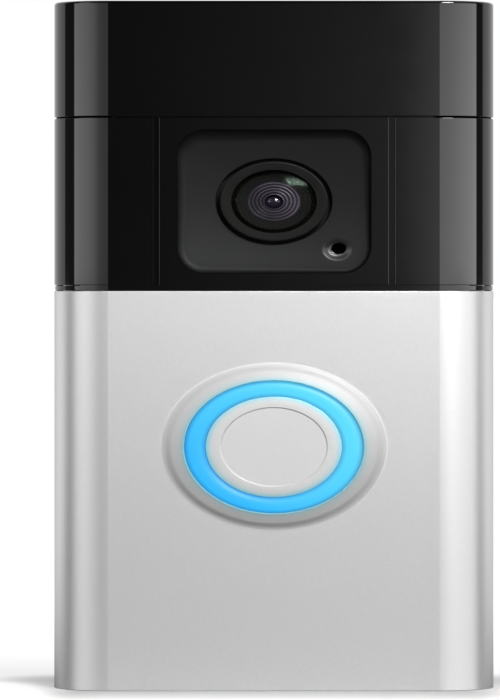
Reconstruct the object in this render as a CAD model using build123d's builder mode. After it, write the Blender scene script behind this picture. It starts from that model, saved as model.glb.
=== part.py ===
from build123d import *
import math
import os

# Video doorbell in millimetres: X to the right as seen from the front, Y towards the wall, Z up.
# The origin is under the middle of the body, on the surface it stands on.
# "Out" is the distance from the wall, so a larger value is nearer the person who rings.

os.makedirs("parts", exist_ok=True)

# Overall body
HEIGHT = 129.5
WIDTH = 83.2
DEPTH = 28.0
OVAL = 1.354  # width over height of the lens, the light and the button
SKIRT_RISE = 1.6  # how far the collar round the light stands out of the front
CORNER_R = 10.5  # upright front corners
REAR_R = 3.0  # upright rear corners
FRONT = DEPTH - SKIRT_RISE
WALL_Y = DEPTH / 2
SIDES = (-1, 1)

# Thicknesses and rounded edges
SKIN = 1.5  # faceplate and gloss panels
WALL = 1.8  # housing and frame
FLOOR = 2.0  # back wall of the housing
SEAL = 0.6
BOARD = 1.0
MAIN_BOARD = 1.2
BAND = 6.6  # rear band of the housing that shows from the side
LIP = 9.9  # depth of the faceplate's bottom lip
EDGE = 0.12  # rounding of the visible edges
CAP_EDGE = 0.5  # rounding of the cap's upper edge
BAND_EDGE = 0.5  # rounding of the rear band

# Clearances
FIT = 0.25  # between a skin and what it covers
SEAM = 0.25  # between two gloss panels
SLIDE_GAP = 0.3  # round the battery
GUIDE_GAP = 0.15  # round a button
SEAT_GAP = 0.05  # between pieces that sit in each other
SCREW_GAP = 0.1  # round a shank in a clear hole
THREAD_GAP = 0.05  # round a shank in its thread
TINY = 0.01

# Heights of the lines across the front
CAP_HEIGHT = 21.7  # top cap, down to the upper seam
GLOSS_HEIGHT = 53.4  # gloss black part, down to the groove
CHIN = 1.1  # black strip between groove and faceplate
LENS_DROP = 0.15  # lens below the middle of its panel
BUTTON_DROP = 29.2  # button below the top of the faceplate
CAP_SEAM_Z = HEIGHT - CAP_HEIGHT
GROOVE_Z = HEIGHT - GLOSS_HEIGHT
FACE_TOP_Z = GROOVE_Z - CHIN
LENS_Z = (CAP_SEAM_Z + GROOVE_Z) / 2 - LENS_DROP
BUTTON_Z = FACE_TOP_Z - BUTTON_DROP

# Levels out from the wall
CORNER_ROOM = 0.4  # the housing ends this far behind the rounded corners
CORE = SKIN + FIT  # inset of the housing and frame inside the skins
HOLLOW = CORE + WALL  # inset of the space inside them
TUB_TOP = FRONT - CORNER_R - CORNER_ROOM
FRAME_LOW = TUB_TOP + SEAL
FRAME_FRONT = FRONT - CORE
FRAME_BACK = FRAME_FRONT - WALL
INNER_X = WIDTH / 2 - HOLLOW

# Gloss panels and the pan round the camera
PANEL_X = 21.55
PANEL_GAP = 1.15
PAN_X = 18.3
PAN_UP = 13.5
PAN_R = 5.2
PAN_DROP = 1.7
PAN_WALL = 1.2
PAN_FLANGE = 1.3
PAN_RIM = 0.15
PAN_SLOPE = 1.5
PAN_LOW_R = 4.0
PAN_SOFT = 1.0  # rounding where the slope meets the floor
PAN_FLOOR = FRONT - PAN_DROP
PAN_BACK = PAN_FLOOR - PAN_WALL

# Microphone dimple in the pan, as radii up and down (times OVAL sideways)
MIC_X = 11.9
MIC_DROP = 9.0
MIC_DISH_R = 2.15
MIC_DISH_LOW_R = 1.1
MIC_HOLE_R = 1.0
MIC_DISH = 0.9
MIC_RIM = 0.1
MIC_Z = LENS_Z - MIC_DROP

# Camera glass, trim and rings, as radii up and down (times OVAL sideways)
PAN_HOLE_R = 8.14
BEZEL_R = 7.5
BEZEL_RISE = 0.55
BEZEL_SLOPE = 0.75
BEZEL_DEEP = 1.35
BEZEL_FLANGE = 1.5
BEZEL_FLANGE_T = 0.9
BEZEL_TOP = FRONT + BEZEL_RISE
GLASS_R = 5.95
GLASS_SEAT = 0.55
GLASS_RIM = 0.45
GLASS_STEP = 0.15
GLASS_GAP = 0.1
GLASS_LIFT = 1.3
GLASS_T = 0.9
GLASS_DOME = 0.7
GLASS_LOW = PAN_BACK + GLASS_LIFT
GLASS_EDGE = GLASS_LOW + GLASS_T
GLASS_TOP = GLASS_EDGE + GLASS_DOME
RINGS = 5
RING_OUT_R = 3.42
RING_IN_R = 1.34
RING_DROP = 0.16
RING_TOP_DROP = 0.15

# Round lens, its barrel and the camera behind it
FRONT_LENS_R = 3.8
LENS_WALL = 1.3
LENS_LONG = 2.65
LENS_SINK = 0.1
BARREL_R = 5.2
BARREL_BORE_R = 2.4
BARREL_SINK = 1.1
BARREL_GRIP = 2.7
HOLDER_HALF = 8.0
HOLDER_LONG = 6.0
HOLDER_BORE_R = 3.0
HOLDER_GAP = 0.4
SENSOR_CHIP_X = 4.5
SENSOR_CHIP_UP = 3.5
SENSOR_CHIP_T = 1.0
CHIP_ROOM = 1.0
CHIP_ROOM_OUT = 0.4
CAMERA_BOARD_HALF = 10.0
CONNECTOR_X = 6.0
CONNECTOR_UP = 2.0
CONNECTOR_LONG = 2.8

# Front board, camera board and main board, one behind the other
FRONT_BOARD_DEPTH = 5.45  # from the frame's back to the board's back
FRONT_BOARD_UP = 13.0
FRONT_BOARD_HOLE = 1.0
FRONT_BOARD_LOW = FRAME_BACK - FRONT_BOARD_DEPTH
FRONT_BOARD_TOP = FRONT_BOARD_LOW + BOARD
HOLDER_TOP = FRONT_BOARD_LOW - HOLDER_GAP
CAMERA_BOARD_TOP = HOLDER_TOP - HOLDER_LONG
CAMERA_BOARD_LOW = CAMERA_BOARD_TOP - BOARD
MAIN_TOP = CAMERA_BOARD_LOW - CONNECTOR_LONG
MAIN_LOW = MAIN_TOP - MAIN_BOARD

# Light and button, as radii up and down (times OVAL sideways)
SKIRT_R = 15.05
SKIRT_LIP = 0.4
SKIRT_LIP_DROP = 0.3
SKIRT_BULGE = 0.4
SKIRT_BULGE_RISE = 1.056
HALO_OUT_R = 12.34
HALO_IN_R = 9.5
HALO_RISE = 1.3
HALO_CROWN = 0.5
HALO_GAP = 0.16
HALO_TOP = FRONT + HALO_RISE
HALO_MID_R = (HALO_IN_R + HALO_OUT_R) / 2
BUTTON_R = HALO_IN_R - GUIDE_GAP
BUTTON_RISE = 1.1
BUTTON_T = 2.3
BUTTON_SOFT = 0.3
BUTTON_STEP_R = 7.4
BUTTON_STEP = 0.25
BUTTON_STEP_SLOPE = 0.15
BUTTON_TOP = FRONT + BUTTON_RISE
BUTTON_TRAVEL = 0.8
PRESS_ROOM = 0.3  # left under a piece at the end of the button's travel

# Works of the light and the button
LED_DEPTH = 4.25  # from the frame's back to the light board
LED_ROOM = 1.2
LED_BOARD_R = 14.0
HALO_LED_COUNT = 12
HALO_LED = 1.6
HALO_LED_T = 0.8
LED_POCKET_R = 1.36
CARRIER_WALL = 0.8
CARRIER_FLANGE = 1.1
CARRIER_FLANGE_T = 1.2
CARRIER_BORE_R = 4.9
CUP_INSET = 1.45
CUP_HEIGHT = 2.8
CUP_WALL = 1.3
CUP_T = 1.0
STEM_R = 2.45
STEM_FLANGE_T = 1.0
STEM_FLANGE_ROOM = 0.15
SEAL_INSET = 1.7
SEAL_BORE_GAP = 0.55
SWITCH_HALF = 3.1
SWITCH_T = 1.7
SWITCH_BORE_R = 1.5
SWITCH_PIN_R = 1.42
SWITCH_PIN_ROOM = 0.1
LED_TOP = FRAME_BACK - LED_DEPTH
LED_LOW = LED_TOP - BOARD
HALO_FLOOR = LED_TOP + LED_ROOM
CARRIER_IN_R = HALO_OUT_R + HALO_GAP
CARRIER_R = CARRIER_IN_R + CARRIER_WALL
CUP_R = BUTTON_R - CUP_INSET
CUP_TOP = HALO_FLOOR + CUP_HEIGHT
SWITCH_TOP = LED_TOP + SWITCH_T
PLUNGER_LOW = SWITCH_TOP + BUTTON_TRAVEL + PRESS_ROOM
FLANGE_TOP = BUTTON_TOP - BUTTON_T
FLANGE_LOW = FLANGE_TOP - STEM_FLANGE_T

# Wall screw holes and case screws
TUNNEL_R = 5.2
TUNNEL_BORE_R = 4.2
WALL_HOLE_R = 2.3
WALL_HOLE_INSET = 8.05
WALL_HOLE_LOW_Z = 18.0
WALL_HOLE_DROP = 10.1  # upper holes below the groove
WALL_HOLE_X = INNER_X - WALL_HOLE_INSET
WALL_HOLE_HIGH_Z = GROOVE_Z - WALL_HOLE_DROP
CASE_INSET = 3.75
CASE_END = 7.2
CASE_LIFT = 2.9
CASE_BOSS_R = 3.4
CASE_WELL_R = 2.7
CASE_WELL = 2.6
CASE_BORE_R = 1.3
CASE_HEAD_R = 2.4
CASE_HEAD_SINK = 0.9
CASE_SCREW_R = 1.1
CASE_THREAD = 2.9
CASE_TIP_ROOM = 0.2
CASE_CROSS = 1.6
CASE_CROSS_DEEP = 0.8
FRAME_BOSS_R = 3.2
FRAME_BOSS = 3.9
CROSS_WIDE = 0.6
CASE_X = INNER_X - CASE_INSET

# Setup button under the faceplate, on an arm of the light board
SETUP_INSET = 2.0
SETUP_DROP = 3.8
SETUP_R = 2.05
SETUP_FLANGE = 0.75
SETUP_FLANGE_T = 0.95
SETUP_STEM_R = 1.2
SETUP_STEM_SINK = 0.7
SETUP_SWITCH_HALF = 3.0
SETUP_SWITCH_BORE_R = 1.3
ARM_REACH = 2.5
ARM_END = 2.2
ARM_HALF = 5.0
SETUP_X = -(WALL_HOLE_X - SETUP_INSET)
SETUP_Z = BUTTON_Z - SETUP_DROP

# Battery and its bay
SLEEVE_WALL = 1.2
BAY_DROP = 2.1
BAY_END_GAP = 0.6
BATTERY_DROP = 13.9  # top of the battery below the groove
BATTERY_Z0 = 0.2
BATTERY_SPLIT_Z = 14.0
BATTERY_EDGE = 1.0
CASE_WALL = 1.0
CELL_GAP = 0.2
CELL_SPLIT = 0.3
CELL_END_GAP = 1.0
SLEEVE_X = WALL_HOLE_X - TUNNEL_R - SLIDE_GAP
BAY_X = SLEEVE_X - SLEEVE_WALL
BATTERY_X = BAY_X - SLIDE_GAP
BAY_TOP = TUB_TOP - BAY_DROP
SLEEVE_TOP = BAY_TOP + SLEEVE_WALL
BATTERY_LOW = FLOOR + SLIDE_GAP
BATTERY_TOP = BAY_TOP - SLIDE_GAP
BATTERY_Z1 = GROOVE_Z - BATTERY_DROP
BAY_Z1 = BATTERY_Z1 + BAY_END_GAP
SLEEVE_Z1 = BAY_Z1 + SLEEVE_WALL

# Battery contacts
PIN_COUNT = 4
PIN_PITCH = 3.5
PIN_R = 0.5
PIN_HOLE_R = 0.6
PIN_SEAT = 2.5
PAD_T = 0.3
PAD_X = 1.0
PAD_OUT = 2.0
CONTACT_X = 8.0
CONTACT_OUT = 2.7
CONTACT_LONG = 3.4
PIN_OUT = (BATTERY_LOW + BATTERY_TOP) / 2

# Release tab and latch spring at the lower end of the battery
TAB_X = 4.0
TAB_T = 2.8
TAB_GAP = 0.3
TAB_Z0 = 0.5
TAB_ROOM = 1.0
TAB_RIBS = 3
TAB_RIB_PITCH = 0.7
TAB_RIB = 0.35
TAB_RIB_DEEP = 0.3
TAB_RIB_INSET = 0.8
TAB_RIB_START = 0.5
POCKET_Z1 = 8.0
POCKET_ROOM = 1.8
LATCH_T = 0.3
LATCH_X = 2.2
LATCH_Z = 6.2
LATCH_Z0 = 1.5
LATCH_Z1 = 13.5
LATCH_END_GAP = 0.1
LATCH_TIP_ROOM = 0.4
WINDOW_BELOW = 0.3
WINDOW_ABOVE = 1.2
WINDOW_SIDE = 0.8
TAB_LOW = BATTERY_TOP - TAB_T

# Outlines and parts of the upper boards
MAIN_GAP = 0.9
MAIN_LIFT = 2.9
MAIN_TOP_GAP = 5.5
MAIN_SPOT_INSET = 3.0
FRONT_BOARD_GROW = 0.3
FRONT_SPOT_SHIFT = 0.25
FRONT_SPOT_UP = 11.0
CAN_X = 11.5
CAN_INSET = 5.5
CAN_LOW = 6.0
CAN_HIGH = 24.0
CAN_T = 1.8
NIGHT_X = 14.5
NIGHT_UP = 6.5
NIGHT_LED = 1.6
NIGHT_LED_T = 1.0
NIGHT_DOME_R = 1.3
NIGHT_DOME_T = 0.8
MIC_HALF = 1.8
MIC_T = 1.0
MIC_TUBE_R = 2.2
MIC_TUBE_BORE_R = 1.4
MOTION_SHIFT = 3.95
MOTION_R = 4.1
MOTION_RIM = 0.5
MOTION_RIM_T = 0.6
MOTION_SLOT_X = 2.0
MOTION_SLOT_UP = 5.0
MAIN_X = CASE_X - CASE_BOSS_R - MAIN_GAP
MAIN_Z0 = GROOVE_Z + MAIN_LIFT
MAIN_Z1 = HEIGHT - MAIN_TOP_GAP
FRONT_BOARD_X = MAIN_X + FRONT_BOARD_GROW

# Ribbons between the boards: straight lengths along a board and on the slope
RIBBON_T = 0.2
RIBBON_HALF = 5.0
LIGHT_RIBBON_UP = 8.0
SLEEVE_CLEAR = 3.0
FRONT_RIBBON_UP = 9.0
RIBBON_SEAT = 2.5
RIBBON_BEND = 1.5
RIBBON_BEND_OUT = 1.1
RIBBON_START = 1.0
RIBBON_RUN = 4.0
RIBBON_EDGE = 1.0

# Board screws
SCREW_HEAD_R = 1.9
SCREW_HEAD_T = 1.2
SCREW_R = 0.95
SCREW_LONG = 4.2
SCREW_BORE = 3.2
BOARD_POST_R = 2.2
FRAME_POST_R = 1.5
FRAME_POST_CAP = 1.0

# Speaker in the right column, facing sideways
SPEAKER_ROOM = 3.8  # between the speaker and the wall screw tunnels
SPEAKER_INSET = 1.25
SPEAKER_LONG = 5.6
SPEAKER_LIFT = 1.2
SPEAKER_DROP = 1.3
SPEAKER_WALL = 1.0
SPEAKER_BACK = 1.2
MAGNET_T = 2.0
MAGNET_INSET = 6.0
MAGNET_SIDE = 1.2
COIL_T = 0.4
COIL_GAP = 0.3
COIL_DEEP = 1.0
CONE_SINK = 1.4
CONE_T = 0.4
SURROUND = 0.8
VENT_LONG = 3.6
VENT_PITCH = 5.2
VENT_END = 3.0
VENT_EDGE = 1.0
SPEAKER_Z = (WALL_HOLE_LOW_Z + WALL_HOLE_HIGH_Z) / 2
SPEAKER_HALF = (WALL_HOLE_HIGH_Z - WALL_HOLE_LOW_Z) / 2 - TUNNEL_R - SPEAKER_ROOM
SPEAKER_X1 = INNER_X - SPEAKER_INSET
SPEAKER_X0 = SPEAKER_X1 - SPEAKER_LONG
SPEAKER_LOW = FLOOR + SPEAKER_LIFT
SPEAKER_TOP = TUB_TOP - SPEAKER_DROP
MAGNET_HALF = SPEAKER_HALF - MAGNET_INSET
CONE_X = SPEAKER_X1 - CONE_SINK
VENT_COUNT = int((2 * SPEAKER_HALF - VENT_END) / VENT_PITCH)

# Wiring terminals at the back
TERMINAL_X = 7.0
TERMINAL_DROP = 1.5
TERMINAL_UP = 4.3
TERMINAL_SIDE = 6.0
TERMINAL_BLOCK = 5.0
TERMINAL_WELL_R = 3.8
TERMINAL_WELL = 2.4
TERMINAL_BORE_R = 1.3
TERMINAL_BORE = 4.4
TERMINAL_SCREW_R = 1.28
TERMINAL_HEAD_R = 2.6
TERMINAL_SINK = 0.3
TERMINAL_TIP_ROOM = 0.2
TERMINAL_CROSS = 2.0
TERMINAL_CROSS_DEEP = 0.5
WASHER_GAP = 0.4
WASHER_T = 0.8
WASHER_BORE_R = 1.4
TERMINAL_Z = FACE_TOP_Z - TERMINAL_DROP

# Shallow recess for a label on the back
LABEL_X = 20.0
LABEL_BELOW = 8.0
LABEL_ABOVE = 14.0
LABEL_DEEP = 0.4

# Security screw in the faceplate's lip and the boss it goes into
SECURITY_DEPTH = 5.9
CUP_OUT_R = 3.4
CUP_LONG = 3.0
CUP_END_GAP = 0.1
HEAD_WELL_R = 2.6
HEAD_WELL = 1.6
SECURITY_HEAD_R = 2.4
SECURITY_R = 1.2
SECURITY_TIP = 9.2
SECURITY_TIP_ROOM = 0.3
SECURITY_SOCKET_R = 1.2
SECURITY_SOCKET = 0.9
BOSS_X = 4.2
BOSS_Z1 = 10.5
BOSS_BACK = 3.4
SECURITY_OUT = FRONT - SECURITY_DEPTH

# Places that several pieces share, as (X, Z)
WALL_HOLES = [(s * WALL_HOLE_X, z) for s in SIDES for z in (WALL_HOLE_LOW_Z, WALL_HOLE_HIGH_Z)]
CASE_HEIGHTS = (CASE_END, GROOVE_Z + CASE_LIFT, HEIGHT - CASE_END)
CASE_SPOTS = [(s * CASE_X, z) for s in SIDES for z in CASE_HEIGHTS]
MAIN_HEIGHTS = (MAIN_Z0 + MAIN_SPOT_INSET, MAIN_Z1 - MAIN_SPOT_INSET)
MAIN_SPOTS = [(s * (MAIN_X - MAIN_SPOT_INSET), z) for s in SIDES for z in MAIN_HEIGHTS]
FRONT_SPOT_X = PANEL_X + FRONT_SPOT_SHIFT
FRONT_SPOTS = [(s * FRONT_SPOT_X, LENS_Z + t * FRONT_SPOT_UP) for s in SIDES for t in SIDES]
LENS_SPOT = [(0, LENS_Z)]
MIC_SPOT = [(MIC_X, MIC_Z)]
BUTTON_SPOT = [(0, BUTTON_Z)]
SETUP_SPOT = [(SETUP_X, SETUP_Z)]
ARM_X = -WALL_HOLE_X - ARM_REACH
ARM_SPOT = [(ARM_X, SETUP_Z)]
MOTION_SPOTS = [(s * (PANEL_X + MOTION_SHIFT), LENS_Z) for s in SIDES]
TERMINAL_SPOTS = [(s * TERMINAL_X, TERMINAL_Z) for s in SIDES]
NIGHT_SPOTS = [(s * NIGHT_X, LENS_Z + NIGHT_UP) for s in SIDES] + [(-NIGHT_X, LENS_Z - NIGHT_UP)]
LED_ANGLES = [2 * math.pi * n / HALO_LED_COUNT for n in range(HALO_LED_COUNT)]
LED_SPOTS = [
    (OVAL * HALO_MID_R * math.cos(a), BUTTON_Z + HALO_MID_R * math.sin(a)) for a in LED_ANGLES
]
PIN_XS = [(n - (PIN_COUNT - 1) / 2) * PIN_PITCH for n in range(PIN_COUNT)]
PIN_SPOTS = [(x, PIN_OUT) for x in PIN_XS]
SECURITY_SPOT = [(0, SECURITY_OUT)]


def around(middle, half):
    """Span of one half width to each side of a middle."""
    return (middle - half, middle + half)


def within(span, margin):
    """Span that is smaller by a margin at both ends."""
    return (span[0] + margin, span[1] - margin)


def out_plane(out):
    """Upright plane facing the front, at a distance out from the wall; its axes are X and Z."""
    return Plane(origin=(0, WALL_Y - out, 0), x_dir=(1, 0, 0), z_dir=(0, -1, 0))


def section_plane(z):
    """Upright plane through X = 0; its axes are the radius from height z and the way out."""
    return Plane(origin=(0, WALL_Y, z), x_dir=(0, 0, 1), z_dir=(1, 0, 0))


def out_axis(z):
    """Line straight out of the wall at height z."""
    return Axis((0, WALL_Y, z), (0, -1, 0))


def block(across, up, out, mode=Mode.ADD):
    """Box from its spans across, up and out."""
    with BuildSketch(out_plane(out[0])) as outline:
        with Locations(((across[0] + across[1]) / 2, (up[0] + up[1]) / 2)):
            Rectangle(across[1] - across[0], up[1] - up[0])
    extrude(outline.sketch, amount=out[1] - out[0], mode=mode)


def posts(spots, radius, out, mode=Mode.ADD):
    """Round posts or holes that run out from the wall."""
    with BuildSketch(out_plane(out[0])) as circles:
        with Locations(*spots):
            Circle(radius)
    extrude(circles.sketch, amount=out[1] - out[0], mode=mode)


def uprights(spots, radius, up, mode=Mode.ADD):
    """Round pins or holes that run up, at (X, out) spots."""
    with BuildSketch(Plane.XY.offset(up[0])) as circles:
        with Locations(*[(x, WALL_Y - out) for x, out in spots]):
            Circle(radius)
    extrude(circles.sketch, amount=up[1] - up[0], mode=mode)


def oval(z, radius, out, mode=Mode.ADD):
    """Oval disc or hole on the middle line at height z."""
    with BuildSketch(out_plane(out[0])) as ellipse:
        with Locations((0, z)):
            Ellipse(radius * OVAL, radius)
    extrude(ellipse.sketch, amount=out[1] - out[0], mode=mode)


def cushion(half_x, half_up, radius, out, mode=Mode.ADD):
    """Block with rounded corners round the lens."""
    with BuildSketch(out_plane(out[0])) as outline:
        with Locations((0, LENS_Z)):
            RectangleRounded(2 * half_x, 2 * half_up, radius)
    extrude(outline.sketch, amount=out[1] - out[0], mode=mode)


def cross_recess(spots, half, out):
    """Cross cut into screw heads that face the wall."""
    for x, z in spots:
        block(around(x, half), around(z, CROSS_WIDE / 2), out, Mode.SUBTRACT)
        block(around(x, CROSS_WIDE / 2), around(z, half), out, Mode.SUBTRACT)


def body_block(inset, up, back):
    """The body's rounded form, smaller by inset, between two heights and from back to the front."""
    half = WIDTH / 2 - inset
    front_y = WALL_Y - (FRONT - inset)
    with BuildPart() as form:
        with BuildSketch(Plane.XY.offset(up[0])) as plan:
            with Locations((0, (front_y + WALL_Y) / 2)):
                Rectangle(2 * half, WALL_Y - front_y)
            fillet(plan.vertices().group_by(Axis.Y)[0], CORNER_R - inset)
            if back > 0:
                with Locations((0, WALL_Y - back / 2)):
                    Rectangle(WIDTH, back, mode=Mode.SUBTRACT)
        extrude(amount=up[1] - up[0])
    return form.part


def turned(z, points, widen=OVAL):
    """Turned form about the line out of the wall at height z, from (radius, out) points."""
    with BuildPart() as form:
        with BuildSketch(section_plane(z)):
            with BuildLine():
                Polyline(*points, close=True)
            make_face()
        revolve(axis=out_axis(z))
        if widen != 1:
            scale(by=(widen, 1, 1))
    return form.part


def dome_arc(radius, edge, top):
    """Arc of a dome from its rim to its top on the axis, as (radius, out) points."""
    rise = top - edge
    ball = (radius**2 + rise**2) / (2 * rise)
    middle = top - ball + math.sqrt(ball**2 - (radius / 2) ** 2)
    ThreePointArc((radius, edge), (radius / 2, middle), (0, top))


def on_skin(corner):
    """True for a point on the front face or on a side face."""
    at_side = abs(abs(corner.X) - WIDTH / 2) < TINY
    at_front = abs(corner.Y - (WALL_Y - FRONT)) < TINY
    return at_side or at_front


def skin_edges(piece, level):
    """Edges of the outside that lie at one height."""
    edges = piece.edges().filter_by_position(Axis.Z, level - TINY, level + TINY)
    return [edge for edge in edges if all(on_skin(corner) for corner in edge.vertices())]


# Rear housing that goes on the wall
CORE_SPAN = around(0, WIDTH / 2 - CORE)
HOLLOW_SPAN = around(0, INNER_X)
CORE_UP = (CORE, HEIGHT - CORE)
HOLLOW_UP = (HOLLOW, HEIGHT - HOLLOW)
BELT_UP = (FACE_TOP_Z + EDGE, GROOVE_Z - EDGE)
with BuildPart() as base_housing:
    block(around(0, WIDTH / 2), (0, HEIGHT), (0, BAND))
    fillet(base_housing.edges().filter_by(Axis.Z).group_by(Axis.Y)[-1], REAR_R)
    fillet(base_housing.edges().filter_by(Axis.Z).group_by(Axis.Y)[0], BAND_EDGE)
    fillet(base_housing.faces().filter_by(Axis.Z).edges(), BAND_EDGE)
    block(CORE_SPAN, CORE_UP, (FLOOR, TUB_TOP))
    block(around(0, WIDTH / 2 - EDGE), BELT_UP, (BAND - BAND_EDGE, TUB_TOP))
    block(HOLLOW_SPAN, HOLLOW_UP, (FLOOR, TUB_TOP), Mode.SUBTRACT)
    block(around(0, BAY_X), (0, HOLLOW), (FLOOR, BAY_TOP), Mode.SUBTRACT)
    posts(WALL_HOLES, TUNNEL_R, (FLOOR, TUB_TOP))
    posts(WALL_HOLES, TUNNEL_BORE_R, (2 * FLOOR, TUB_TOP), Mode.SUBTRACT)
    posts(WALL_HOLES, WALL_HOLE_R, (0, 2 * FLOOR), Mode.SUBTRACT)
    posts(CASE_SPOTS, CASE_BOSS_R, (FLOOR, TUB_TOP))
    posts(CASE_SPOTS, CASE_WELL_R, (0, CASE_WELL), Mode.SUBTRACT)
    posts(CASE_SPOTS, CASE_BORE_R, (CASE_WELL, TUB_TOP), Mode.SUBTRACT)
    posts(MAIN_SPOTS, BOARD_POST_R, (FLOOR, MAIN_LOW))
    posts(MAIN_SPOTS, SCREW_R + THREAD_GAP, (MAIN_LOW - SCREW_BORE, MAIN_LOW), Mode.SUBTRACT)
    terminal_x = around(0, TERMINAL_X + TERMINAL_SIDE)
    block(terminal_x, around(TERMINAL_Z, TERMINAL_UP), (FLOOR, FLOOR + TERMINAL_BLOCK))
    label_up = (LENS_Z - LABEL_BELOW, LENS_Z + LABEL_ABOVE)
    block(around(0, LABEL_X), label_up, (0, LABEL_DEEP), Mode.SUBTRACT)
    posts(TERMINAL_SPOTS, TERMINAL_WELL_R, (0, TERMINAL_WELL), Mode.SUBTRACT)
    terminal_bore = (TERMINAL_WELL, FLOOR + TERMINAL_BORE)
    posts(TERMINAL_SPOTS, TERMINAL_BORE_R, terminal_bore, Mode.SUBTRACT)
    vent_out = (SPEAKER_LOW + VENT_EDGE, BAND - VENT_EDGE)
    for number in range(VENT_COUNT):
        vent_z = SPEAKER_Z + (number - (VENT_COUNT - 1) / 2) * VENT_PITCH
        block((INNER_X, WIDTH / 2), around(vent_z, VENT_LONG / 2), vent_out, Mode.SUBTRACT)
base_housing.part.label = "base_housing"
export_step(base_housing.part, "parts/base_housing.step")

# Seal between the housing and the frame
with BuildPart() as frame_seal:
    block(CORE_SPAN, CORE_UP, (TUB_TOP, FRAME_LOW))
    block(HOLLOW_SPAN, HOLLOW_UP, (TUB_TOP, FRAME_LOW), Mode.SUBTRACT)
frame_seal.part.label = "frame_seal"
export_step(frame_seal.part, "parts/frame_seal.step")

# Frame that carries the front pieces and shows in the chin strip and the grooves
with BuildPart() as front_frame:
    add(body_block(CORE, CORE_UP, FRAME_LOW))
    add(body_block(EDGE, BELT_UP, FRAME_LOW))
    add(body_block(HOLLOW, HOLLOW_UP, 0), mode=Mode.SUBTRACT)
    posts(WALL_HOLES, TUNNEL_R, (FRAME_LOW, FRAME_BACK))
    posts(WALL_HOLES, TUNNEL_BORE_R, (FRAME_LOW, FRONT), Mode.SUBTRACT)
    posts(CASE_SPOTS, FRAME_BOSS_R, (FRAME_LOW, FRAME_LOW + FRAME_BOSS))
    case_thread = (FRAME_LOW, FRAME_LOW + CASE_THREAD)
    posts(CASE_SPOTS, CASE_SCREW_R + THREAD_GAP, case_thread, Mode.SUBTRACT)
    thread_top = FRAME_BACK - FRAME_POST_CAP
    posts(FRONT_SPOTS, FRAME_POST_R, (FRONT_BOARD_TOP, FRAME_BACK))
    posts(FRONT_SPOTS, SCREW_R + THREAD_GAP, (FRONT_BOARD_TOP, thread_top), Mode.SUBTRACT)
    posts(ARM_SPOT, FRAME_POST_R, (LED_TOP, FRAME_BACK))
    posts(ARM_SPOT, SCREW_R + THREAD_GAP, (LED_TOP, thread_top), Mode.SUBTRACT)
    front_wall = (FRAME_BACK, FRAME_FRONT)
    posts(SETUP_SPOT, SETUP_R + GUIDE_GAP, front_wall, Mode.SUBTRACT)
    oval(BUTTON_Z, CARRIER_R + GUIDE_GAP, front_wall, Mode.SUBTRACT)
    pan_room = PAN_FLANGE + FIT
    cushion(PAN_X + pan_room, PAN_UP + pan_room, PAN_R + PAN_FLANGE, front_wall, Mode.SUBTRACT)
    for x, z in MOTION_SPOTS:
        block(around(x, MOTION_SLOT_X), around(z, MOTION_SLOT_UP), front_wall, Mode.SUBTRACT)
    cup_end = CUP_LONG + CUP_END_GAP
    block(around(0, BOSS_X), (cup_end, BOSS_Z1), (SECURITY_OUT - BOSS_BACK, FRAME_BACK))
    uprights(SECURITY_SPOT, CUP_OUT_R + FIT, (CORE, cup_end), Mode.SUBTRACT)
    security_bore = (CUP_LONG, SECURITY_TIP + SECURITY_TIP_ROOM)
    uprights(SECURITY_SPOT, SECURITY_R + THREAD_GAP, security_bore, Mode.SUBTRACT)
front_frame.part.label = "front_frame"
export_step(front_frame.part, "parts/front_frame.step")

# Gloss cap over the top of the body
with BuildPart() as top_cap:
    add(body_block(0, (CAP_SEAM_Z, HEIGHT), BAND + FIT))
    add(body_block(SKIN, (CAP_SEAM_Z, HEIGHT - SKIN), 0), mode=Mode.SUBTRACT)
    fillet(skin_edges(top_cap, HEIGHT), CAP_EDGE)
    fillet(skin_edges(top_cap, CAP_SEAM_Z), EDGE)
top_cap.part.label = "top_cap"
export_step(top_cap.part, "parts/top_cap.step")

# Gloss side panels that wrap the corners, one the mirror image of the other
PANEL_UP = (GROOVE_Z, CAP_SEAM_Z - SEAM)
with BuildPart() as right_panel:
    add(body_block(0, PANEL_UP, BAND + FIT))
    add(body_block(SKIN, PANEL_UP, 0), mode=Mode.SUBTRACT)
    split(bisect_by=Plane.YZ.offset(PANEL_X + PANEL_GAP), keep=Keep.TOP)
    front_edge = right_panel.edges().filter_by(Axis.Z).group_by(Axis.X)[0].sort_by(Axis.Y)[0]
    rims = skin_edges(right_panel, PANEL_UP[0]) + skin_edges(right_panel, PANEL_UP[1])
    fillet(rims + [front_edge], EDGE)
right_panel.part.label = "right_panel"
export_step(right_panel.part, "parts/right_panel.step")

with BuildPart() as left_panel:
    mirror(right_panel.part, about=Plane.YZ)
left_panel.part.label = "left_panel"
export_step(left_panel.part, "parts/left_panel.step")

# Gloss panel round the camera
with BuildPart() as camera_panel:
    block(around(0, PANEL_X), PANEL_UP, (FRONT - SKIN, FRONT))
    cushion(PAN_X, PAN_UP, PAN_R, (FRONT - SKIN, FRONT), Mode.SUBTRACT)
    fillet(camera_panel.faces().sort_by(Axis.Y)[0].outer_wire().edges(), EDGE)
camera_panel.part.label = "camera_panel"
export_step(camera_panel.part, "parts/camera_panel.step")

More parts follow.
